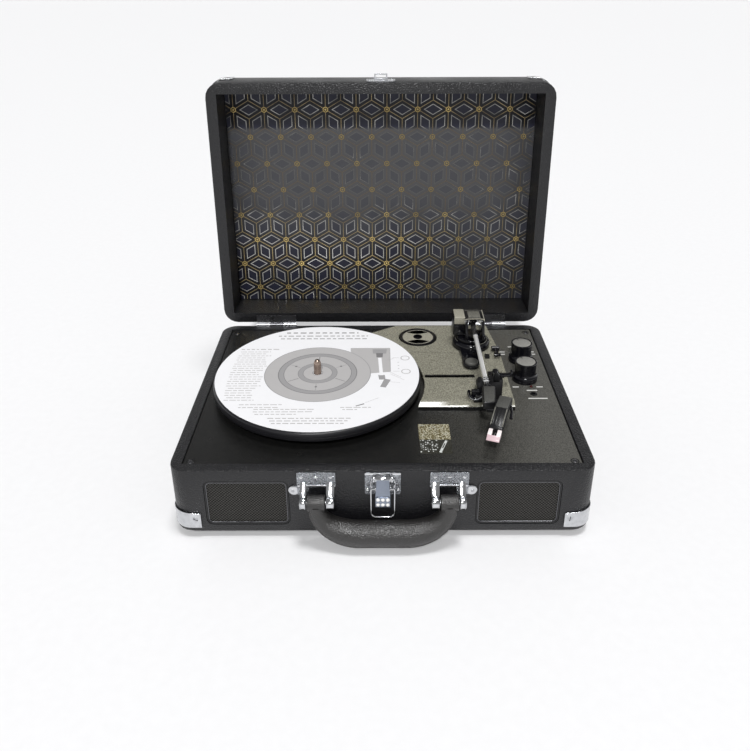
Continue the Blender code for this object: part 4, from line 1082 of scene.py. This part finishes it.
def handle_brackets():
    y, z = HANDLE.y, HANDLE.z
    lug = [(-0.6, -9), (-3.2, -12.5), (-6, -15.6), *arc((y, z), 4.9, 78, 270, 14), (-5, z - 4.9),
           (-1.6, z - 3.6), (-0.6, z - 2.4)]
    ear = [(0, -1.9), (2.6, -1.8), (4, -1.5), (4.6, -1), (4.6, -0.3), (0, -0.3)]
    for name, side in SIDES:
        def across(a, b):
            return sorted((side * a, side * b))

        x0, x1 = across(38.3, 70)
        lip = rounded_rectangle(x0 + 0.4, x1 - 0.4, -14.6, -12.6, 0.9)
        shapes = [(slab(rounded_rectangle(x0, x1, -15.3, -0.6, 1), -1.5, -0.3, "Y"), PRESSED),
                  (slab(lip, -2, -1.2, "Y", 0.35), CHROME)]
        for low, high in (across(39.3, 46), across(62, 67.5)):
            shapes.append((slab(lug, low, high, "X", 0.7, 3), CHROME))
            for edge in (low + 0.9, high - 0.9):
                hoop = placed(arc((y, z), 5, 85, 265, 14), edge, "X")
                shapes.append((tube(hoop, 0.45, 8), CHROME))
        wing = rounded_rectangle(*across(60, 72.5), -22.5, -14, 1)
        shapes += [(slab(wing, -1.5, -0.3, "Y"), PRESSED),
                   (turned(ear, (side * 72.5, 0, -18.6), 32, "Y"), CHROME),
                   (dome((side * 73.4, -1.7, -18.6), 1.5, 0.6), SATIN_STEEL)]
        shapes += [(dome((side * x, -1.5, -5.6), 1.6, 0.6), CHROME) for x in (42.5, 66, 54.2)]
        low, high = across(40, 67)
        shapes.append((sleeve(0, 2.2, low - 0.5, high + 0.5, 0.5, (0, y, z), 24, "X"), SATIN_STEEL))
        piece("handle_mount_" + name, "base", "handle_bracket_" + name, shapes)


def carrying_handle():
    """Leather wrapped round a padded core, with a welt where its edges are sewn together."""
    y, z = HANDLE.y, HANDLE.z
    grip_y, grip_z, steps = -13, -53.2, 26
    right = [((54, y, z - 1), 7.2, 0)]
    for n in range(steps + 1):
        turn = math.radians(90 * n / steps)
        lean = (1 - math.cos(turn)) * (grip_y - y)
        centre = (22 + 32 * math.cos(turn), y + lean, -28 + (grip_z + 28) * math.sin(turn))
        right.append((centre, 7.2 + 3.8 * math.sin(turn) ** 2, turn))
    right += [((x, grip_y, grip_z), 11, math.pi / 2) for x in (18, 14, 9, 4, 0)]
    path = right + [((-p[0], p[1], p[2]), r, math.pi - turn) for p, r, turn in reversed(right[:-1])]
    shapes = [(tube([p for p, _, _ in path], [r for _, r, _ in path], 40), HANDLE_LEATHER)]
    for offset, degrees, radius, sides in ((-0.35, 38, 0.75, 10), (-0.1, 52, 0.28, 8)):
        angle = math.radians(degrees)
        seam = []
        for p, r, turn in path[2:-2]:
            outward = Vector((math.cos(turn), 0, -math.sin(turn)))
            way = outward * math.cos(angle) + Vector((0, -1, 0)) * math.sin(angle)
            seam.append(Vector(p) + way * (r + offset))
        shapes.append((tube(seam, radius, sides), HANDLE_LEATHER))
    for side in (-1, 1):
        low, high = sorted((side * 46.5, side * 61.5))
        wrap = [(2.6, low), (5.6, low), (6.4, low + 0.5), (6.6, low + 1.3), (6.6, high - 1.3),
                (6.4, high - 0.5), (5.6, high), (2.6, high), (2.6, low)]
        shapes.append((turned(wrap, (0, y, z), 40, "X"), HANDLE_LEATHER))
    piece("handle_grip", "handle", "handle", shapes)


def hinges_and_keeper():
    keep(SATIN_STEEL, *(f"hinge_base_leaf_{name}" for name, _ in SIDES), rounding=0.15)
    keep(DARK_STEEL, *(f"hinge_lid_leaf_{name}" for name, _ in SIDES), rounding=0.15)
    keep(SATIN_STEEL, "lid_keeper", rounding=0.2)
    rivets = [(dome((side * 11.2, -1.2, h), 1.5, 0.6), SATIN_STEEL) for side in (-1, 1) for h in (8.4, 17.6)]
    piece("keeper_rivets", "lid", "lid_keeper", rivets, beside=True, place=LID)
    for name, _ in SIDES:
        screws = []
        for offset in (-16, 0, 16):
            screws += screw_head((middle_of("hinge_pin_" + name).x + offset, 0, 0), 2.2, 0.3 * offset, True)
        piece("hinge_screws_" + name, "base", "hinge_base_leaf_" + name, to_rear(screws, CASE_D + 1.3, -13.5),
              beside=True)


def rear_panel():
    """Collars of the two signal sockets, plain ticks over the four sockets, and two screws."""
    height = middle_of("rear_jack_plate").z
    back = CASE_D + 1.8
    collar = [(1.6, 8.2), (3.2, 8.2), (3.2, 7.6), (1.6, 7.6), (1.6, 8.2)]
    rim = [(4.2, 2), (4.9, 2), (5.2, 1.7), (5.2, 1.4), (4.2, 1.4), (4.2, 2)]
    shapes = []
    for x, metal in ((82, CARD), (93, RED)):
        shapes += [(turned(collar, (x, CASE_D, height), 32, "Y"), metal),
                   (turned(rim, (x, CASE_D + 0.2, height), 36, "Y"), SATIN_STEEL)]
    for x in (82, 93, 106, 118):
        tick = block((x - 2.5, back - 0.05, height + 8), (x + 2.5, back + 0.05, height + 9), 0)
        shapes.append((tick, INK))
    for x in (69.5, 130.5):
        shapes += to_rear(screw_head((x, 0, 0), 2, 0.4, True), back, height)
    piece("rear_panel_details", "base", "rear_jack_plate", shapes, beside=True)


# ---------------------------------------------------------------- the tonearm

def tonearm_base():
    x, y = ARM.x, ARM.y
    pad_x, pad_y = CUE_PAD.x, CUE_PAD.y
    low = PLATEAU + 0.3
    turret = [(0, 14), (14.8, 14), (15.4, 13.8), (15.9, 13.95), (16.9, 13.9), (18, 13.2), (18.7, 12.3),
              (19.2, 11), (19.4, 9.6), (19.4, low + 0.3), (19.1, low), (0, low)]
    nose = [(x - 14, y - 10), (pad_x - 8, pad_y + 15), (pad_x - 8.4, pad_y + 8),
            *arc((pad_x, pad_y + 2), 8.4, 180, 360, 24), (pad_x + 9.4, pad_y + 12), (x + 12, y - 12)]
    lip = [(6.9, 10.7), (7.3, 11), (7.9, 10.8), (8.2, 10.2), (6.9, 10.2), (6.9, 10.7)]
    well = [(0, low + 0.6), (6.9, low + 0.6), (6.9, low + 0.1), (0, low + 0.1)]
    shapes = [(turned(turret, (x, y, 0), 96), GLOSS), (slab(nose, low, 10.5, "Z", 0.8, 3), GLOSS),
              (turned(lip, (pad_x, pad_y, 0), 48), GLOSS), (turned(well, (pad_x, pad_y, 0), 32), BLACK)]
    # Painted highlights: grey arcs along the turret's top edge, on its right and its left.
    for reach, start, end, steps, radius in ((16.6, -62, 48, 24, 0.35), (16.4, 150, 205, 12, 0.3)):
        highlight_arc = placed(arc((x, y), reach, start, end, steps), 14.05)
        shapes.append((tube(highlight_arc, radius, 8), GREY_TOP_AND_HIGHLIGHT))
    piece("arm_turret", "base", "tonearm_base", shapes, smooth=40)


def cue_lift():
    pad = [(0, 12.7), (2.2, 12.7), (2.5, 13), (5.2, 13), (5.9, 12.8), (6.4, 12.2), (6.5, 11.4), (6.5, 8.7),
           (6.3, 8.5), (2.4, 8), (2.4, -7), (0, -7)]
    piece("cue_lift_pad", "cue_pad", "cue_pad", [(turned(pad, (CUE_PAD.x, CUE_PAD.y, 0), 56), PAD_GREY)])
    x, y, z = CUE_LEVER
    shapes = [(sleeve(0, 2.6, -4, 4, 0.4, (x, y, z), 32, "X"), GLOSS),
              (block((x - 1.6, y - 14, z - 1), (x + 1.6, y, z + 1.2), 0.5), GLOSS),
              (block((x - 3.4, y - 16, z - 1), (x + 3.4, y - 12.5, z + 1.6), 0.7, 3), GLOSS)]
    for n in range(4):
        u = x - 2.4 + 1.6 * n
        shapes.append((block((u - 0.25, y - 15.6, z + 1.45), (u + 0.25, y - 12.9, z + 1.75), 0.1), BLACK))
    piece("cue_lever_handle", "cue_lever", "cue_lever", shapes)


def arm_rest():
    """The post with its cradle and side hook, and the clip that closes over the arm."""
    low, y0, y1 = PLATEAU + 0.3, 91, 101
    cradle = arc((93.6, 29.4), 3.4, 335, 205, 10)
    post = [(84, low), (109, low), (109, 30), (98.6, 30), (97.6, 29.2), *cradle, (89.8, 28), (87.6, 27.6),
            (85.5, 24), (86.5, 18), (84, 12)]
    tall = [(99, low), (109, low), (109, 22), (99, 22)]
    shapes = [(slab(post, y0, y1, "Y", 0.5), BLACK), (slab(tall, y1 - 1, y1 + 20, "Y", 0.8, 3), GLOSS)]
    for v in (y1 + 4, y1 + 9, y1 + 14):
        shapes.append((block((98.8, v, 12), (99.1, v + 1, 20), 0.1), BLACK))
    for reach, start, end, v, radius, sides, metal in ((6, 20, -200, y0 - 5, 1.6, 14, GLOSS),
                                                       (6.4, 12, -190, y0 - 6.5, 0.4, 8, SATIN_STEEL)):
        hook = placed(arc((84, 20), reach, start, end, 30), v, "Y")
        shapes.append((tube(hook, radius, sides), metal))
    shapes += [(block((84, y0 - 6.2, 12.2), (89, y0 + 1, 17), 0.6), BLACK),
               (block((80.5, y0 - 3.6, 13.4), (88.4, y0 - 0.4, 21.5), 0.9), GLOSS)]
    x, z = CLIP.x, CLIP.z
    for v in (y0, y1 - 2.4):
        ear = [(x - 3, 28), (x + 3, 28)] + arc((x, z), 3, 0, 180, 16)
        shapes.append((slab(ear, v, v + 2.4, "Y", 0.25), BLACK))
    pin = [(0, y0 + 0.7), (1, y0 + 0.9), (1, y1 - 0.9), (0, y1 - 0.7)]
    shapes.append((turned(pin, (x, 0, z), 20, "Y"), SATIN_STEEL))
    piece("arm_rest_post", "base", "arm_rest", shapes)

    hooked = [(x, z - 2), (x + 13.6, z - 2), (x + 14.8, z - 1), (x + 14.8, z + 3.4), (x + 13, z + 3.4),
              (x + 12.6, z + 0.6), (x + 11.6, z), (x + 2.2, z)]
    shapes = [(sleeve(1.4, 2.4, y0 + 2.8, y1 - 2.8, 0.2, (x, 0, z), 28, "Y"), GLOSS),
              (slab(hooked, y0 + 2.8, y1 - 2.8, "Y", 0.35), GLOSS)]
    piece("arm_clip_hook", "arm_clip", "arm_clip", shapes)


YOKE_TOP = 39.25


def yoke():
    """The swivelling fork: two cheeks under an arched roof, with the counterweight block on its left."""
    x, y = ARM.x, ARM.y
    left, right, front, back = x - 7.4, x + 12, y - 8, y + 17
    disc = [(0, 17.6), (13.4, 17.6), (14.2, 17.4), (14.8, 16.8), (15, 16), (15, 14.7), (14.7, 14.4),
            (0, 14.4)]
    shapes = [(turned(disc, (x, y, 0), 80), GLOSS)]
    cheek = [(front - 3, 16), (front + 3, 15), (back - 5, 15), (back, 24), (back, 37.2), (back - 0.6, 37.8),
             (front + 3, 37.8), (front + 1, 37.2), (front - 6, 24), (front - 6, 18)]
    shapes += [(slab(cheek, a, a + 2.6, "X", 0.8, 3), GLOSS) for a in (left, right - 2.6)]
    # Painted highlight: a pale strip along the right cheek's top edge.
    edge = placed(((front + 1, 36.6), (front + 2.2, 37.7), (back - 1, 38)), right - 0.2, "X")
    shapes.append((tube(edge, 0.5, 8), PALE_TOP_AND_HIGHLIGHT))
    middle, reach = (left + right) / 2, (right - left) / 2 + 0.3
    arch = [(middle + reach * share, 38.8 - 1.1 * share ** 4) for share in (n / 8 - 1 for n in range(17))]
    roof = arch + [(middle + reach, 37), (middle - reach, 37)]
    inner = [(u, v + 0.02) for u, v in arch[3:-3]] + [(arch[-4][0], 38.2), (arch[3][0], 38.2)]
    shapes += [(slab(roof, front + 2.5, back - 2, "Y", 0.35), BLACK),
               (slab(inner, front + 5, back - 4.5, "Y", 0.12), GREY_TOP_AND_HIGHLIGHT)]
    # Painted highlights: a pale strip along the roof's front edge and a grey one along its back edge.
    for v, radius, material in ((front + 2.6, 0.45, PALE_TOP_AND_HIGHLIGHT), (back - 2, 0.35, GREY_TOP_AND_HIGHLIGHT)):
        shapes.append((tube([(u, v, w - 0.2) for u, w in arch], radius, 8), material))
    for side in (-1, 1):
        base = x + 0.6 + side * 6
        wedge = [(base - side * 2.4, 35.6), (base - side * 2.4, 36.8), (base + side * 2.8, 36.8),
                 (base + side * 2.8, 32.6)]
        shapes.append((slab(wedge, front + 1.6, front + 3.4, "Y", 0.25), BRIGHT_TRIM))
    for a, b in ((left + 1, left + 4.6), (right - 4.6, right - 1)):
        pin = [(0, a), (1.1, a), (1.1, b), (0, b)]
        shapes.append((turned(pin, (0, PITCH.y, PITCH.z), 20, "X"), SATIN_STEEL))
    for a, way in ((left, -1), (right, 1)):
        cap = [(0, a + way * 0.7), (1.6, a + way * 0.6), (2.1, a + way * 0.2), (2.1, a), (0, a)]
        shapes.append((turned(cap, (0, PITCH.y, PITCH.z), 24, "X"), DARK_STEEL))
    shapes += [(block((left - 11.6, y - 2.3, 18.2), (left + 0.9, y + 18, 39), 1, 3), BLACK),
               (block((left - 11.1, y - 2.6, 30.8), (left + 0.3, y + 17.4, 39.15), 0.9, 3), PALE_TOP_AND_HIGHLIGHT),
               (block((left - 10.2, y - 2.9, 20.5), (left - 0.6, y - 2.2, 29.6), 0.25), GLOSS)]
    for part, _ in shapes:
        for vertex in part.verts:
            vertex.co.z = min(vertex.co.z, YOKE_TOP)
    piece("yoke_fork", "arm_swivel", "arm_yoke", shapes, smooth=40)


def arm_tube():
    rear, front = Vector((94, 219, 32)), Vector((93.2, 70, 30))
    way = (front - rear).normalized()
    length = (front - rear).length

    def bar(stops, radii):
        return tube([rear + way * stop for stop in stops], radii, 32)

    shapes = [(bar((0, 0.4, length - 0.4, length), [1.7, 2.15, 2.15, 1.8]), ARM_METAL)]
    for start, end, radius, metal in ((18.5, 45, 2.45, DARK_STEEL), (45, 46.2, 2.6, CHROME),
                                      (126.2, 127.8, 2.6, CHROME), (129.4, 131.2, 2.7, CHROME),
                                      (134, 146, 2.5, CHROME), (140, 141, 2.75, DARK_STEEL)):
        stops = (start, start + 0.25, end - 0.25, end)
        shapes.append((bar(stops, [radius - 0.25, radius, radius, radius - 0.25]), metal))
    x, y, z = rear.x, PITCH.y, PITCH.z
    shapes += [(block((x - 3.6, y - 6, z - 3), (x + 3.6, y + 7, z + 3), 1, 3), BLACK),
               (block((x - 2.3, y - 5.4, z + 2.8), (x + 2.3, y + 6.2, z + 3.1), 0.14), GREY_TOP_AND_HIGHLIGHT)]
    for start, end in ((x - 4.8, x - 3), (x + 3, x + 8.7)):
        shapes.append((sleeve(1.45, 2.2, start, end, 0.3, (0, y, z), 24, "X"), BLACK))
    piece("tonearm_tube", "arm", "arm_tube", shapes)


def head():
    """The headshell in line with the arm, and the cartridge with its finger lift and stylus, turned on it."""
    x = 93.2
    shell = [(x - 4.8, 77), (x + 6.4, 77), (x + 2.8, 50.5), (x - 7.4, 50.5)]
    cover = [(x - 3.9, 76), (x + 5.4, 76), (x + 2.2, 51.4), (x - 6.4, 51.4)]
    shelf = [(x - 5, 70), (x + 16, 64), (x + 12.6, 47), (x - 4, 52)]
    shapes = [(slab(shell, 25.2, 32.8, "Z", 0.9, 3), BLACK), (slab(cover, 32.5, 33, "Z", 0.2), HEAD_GREY),
              (slab(shelf, 22, 25.8, "Z", 0.5), BLACK),
              (sleeve(2.45, 3.7, 77, 79.9, 0.3, (93.25, 0, 30.1), 28, "Y"), BLACK)]
    piece("headshell_cover", "arm", "headshell", shapes)

    place = CASE @ Matrix.Translation(CARTRIDGE) @ Matrix.Rotation(-CARTRIDGE_TURN, 4, "Z")
    side = [(0, 32.6), (-19, 32.6), (-30, 28.3), (-37, 25.2), (-38, 24.4), (-38, 20.2), (-27, 19.6),
            (-22, 26.1), (0, 26.1)]
    top = [(-0.7, 32.4), (-18.6, 32.4), (-18.6, 33), (-0.7, 33)]
    shapes = [(slab(side, -5.7, 5.7, "X", 0.5), BLACK), (slab(top, -5.2, 5.2, "X", 0.2), HEAD_GREY)]
    slope = math.atan2(32.6 - 25.2, 18)
    for u, half, length, rise, foot, material in (
            *((-3.6 + 2.4 * n, 0.55, 17.5, 0.35, (0, -19.4, 32.4), BLACK) for n in range(4)),
            *((u, 0.5, 18.2, 0.6, (0, -19.2, 32.45), GREY_TOP_AND_HIGHLIGHT) for u in (-4.9, 4.9))):
        rib = block((u - half, -length, -0.3), (u + half, 0, rise), 0.25)
        shapes.append((moved(rib, Matrix.Translation(foot) @ Matrix.Rotation(slope, 4, "X")), material))
    blade = [(5, -3, 28), (7.4, -12, 28.4), (8.6, -17, 28.6), (9.6, -24, 27)]
    shapes += [(block((-5.85, -36.9, 21.4), (5.85, -34.9, 25.6)), GLOSS),
               (tube(blade, [0.9, 1, 1.1, 1.5], 14, squash=(1, 0.7)), GLOSS)]
    piece("cartridge_body", "arm", "cartridge", shapes, place=place)

    guard = [(-38.3, 23.6), (-43.5, 22.2), (-44.6, 21.4), (-44.6, 17.6), (-43.5, 17.6), (-38.3, 19.4)]
    bridge = [(-44.3, 21.6), (-47.4, 19.3), (-48, 18.4), (-48, 17.6), (-44.3, 17.6)]
    needle = [(0, 16.7), (0.3, 16.8), (0.75, 18.3), (0, 18.4)]
    shapes = [(slab(guard, u - 1.7, u + 1.7, "X", 0.35), PALE_PINK) for u in (-3.7, 3.7)]
    shapes += [(slab(bridge, -5.4, 5.4, "X", 0.4), PINK),
               (tube([(0, -38.6, 20.4), (0, -44, 18.9), (0, -46.4, 18.2)], 0.35, 8), SATIN_STEEL),
               (turned(needle, (0, -46.4, 0), 12), CHROME)]
    piece("stylus_guard", "arm", "stylus", shapes, place=place)


kept_nodes()
lining()
deck_details()
label()
spindle_and_platter()
instruction_card()
knob("volume_knob", VOLUME)
knob("source_knob", SOURCE)
adapter()
switch("speed_switch")
switch("auto_stop_switch")
grilles()
corner_protectors()
latch()
handle_brackets()
carrying_handle()
hinges_and_keeper()
rear_panel()
tonearm_base()
cue_lift()
arm_rest()
yoke()
arm_tube()
head()


# ---------------------------------------------------------------- camera, lights and floor

def camera():
    """At the height and distance of someone standing before the player, looking down at it."""
    data = bpy.data.cameras.new("camera")
    data.lens = 36.05
    data.sensor_width = 36
    data.shift_x, data.shift_y = -0.0021, -0.097
    data.clip_start = 0.01
    made = linked("camera", data)
    made.location = CASE @ Vector((-3.86, -491.6, 381.2))
    made.rotation_euler = (math.radians(90 - 25.173), 0.003, 0)
    bpy.context.scene.camera = made


def sun(name, elevation, azimuth, strength, spread):
    """Light from one direction. Azimuth 0 comes from the front and 90 from the right."""
    data = bpy.data.lights.new(name, "SUN")
    data.energy = strength
    data.angle = math.radians(spread)
    up, turn = math.radians(elevation), math.radians(azimuth)
    source = Vector((math.cos(up) * math.sin(turn), -math.cos(up) * math.cos(turn), math.sin(up)))
    linked(name, data).rotation_euler = source.to_track_quat("Z", "Y").to_euler()


HORIZON_GLOW = (10, 22)  # degrees above the horizon over which the pale backdrop darkens to a ceiling
BACKDROP, CEILING = 0.85, 0.25
FLOOR_REACH = 60
FLOOR_GAP = 0.0002


def studio():
    bpy.context.scene.view_settings.view_transform = "Standard"
    world = bpy.data.worlds.new("studio")
    world.use_nodes = True
    tree = world.node_tree
    backdrop = tree.nodes["Background"]
    direction, height, strength = (tree.nodes.new("ShaderNode" + kind) for kind in (
        "TexCoord", "SeparateXYZ", "MapRange"))
    low, high = (math.sin(math.radians(degrees)) for degrees in HORIZON_GLOW)
    for name, value in (("From Min", low), ("From Max", high), ("To Min", BACKDROP), ("To Max", CEILING)):
        strength.inputs[name].default_value = value
    tree.links.new(direction.outputs["Generated"], height.inputs[0])
    tree.links.new(height.outputs["Z"], strength.inputs["Value"])
    tree.links.new(strength.outputs["Result"], backdrop.inputs["Strength"])
    backdrop.inputs["Color"].default_value = (1, 1, 1, 1)
    bpy.context.scene.world = world
    sun("ceiling", 84, 60, 1.45, 14)
    sun("window", 45, -4, 1.95, 3.5)
    mesh = bpy.data.meshes.new("floor")
    ground = bmesh.new()
    bmesh.ops.create_grid(ground, x_segments=1, y_segments=1, size=FLOOR_REACH)
    ground.to_mesh(mesh)
    ground.free()
    mesh.materials.append(paper("floor_white", (0.87, 0.87, 0.88)))
    floor = linked("floor", mesh)
    floor.location.z = cad_box[0][2] - FLOOR_GAP


camera()
studio()
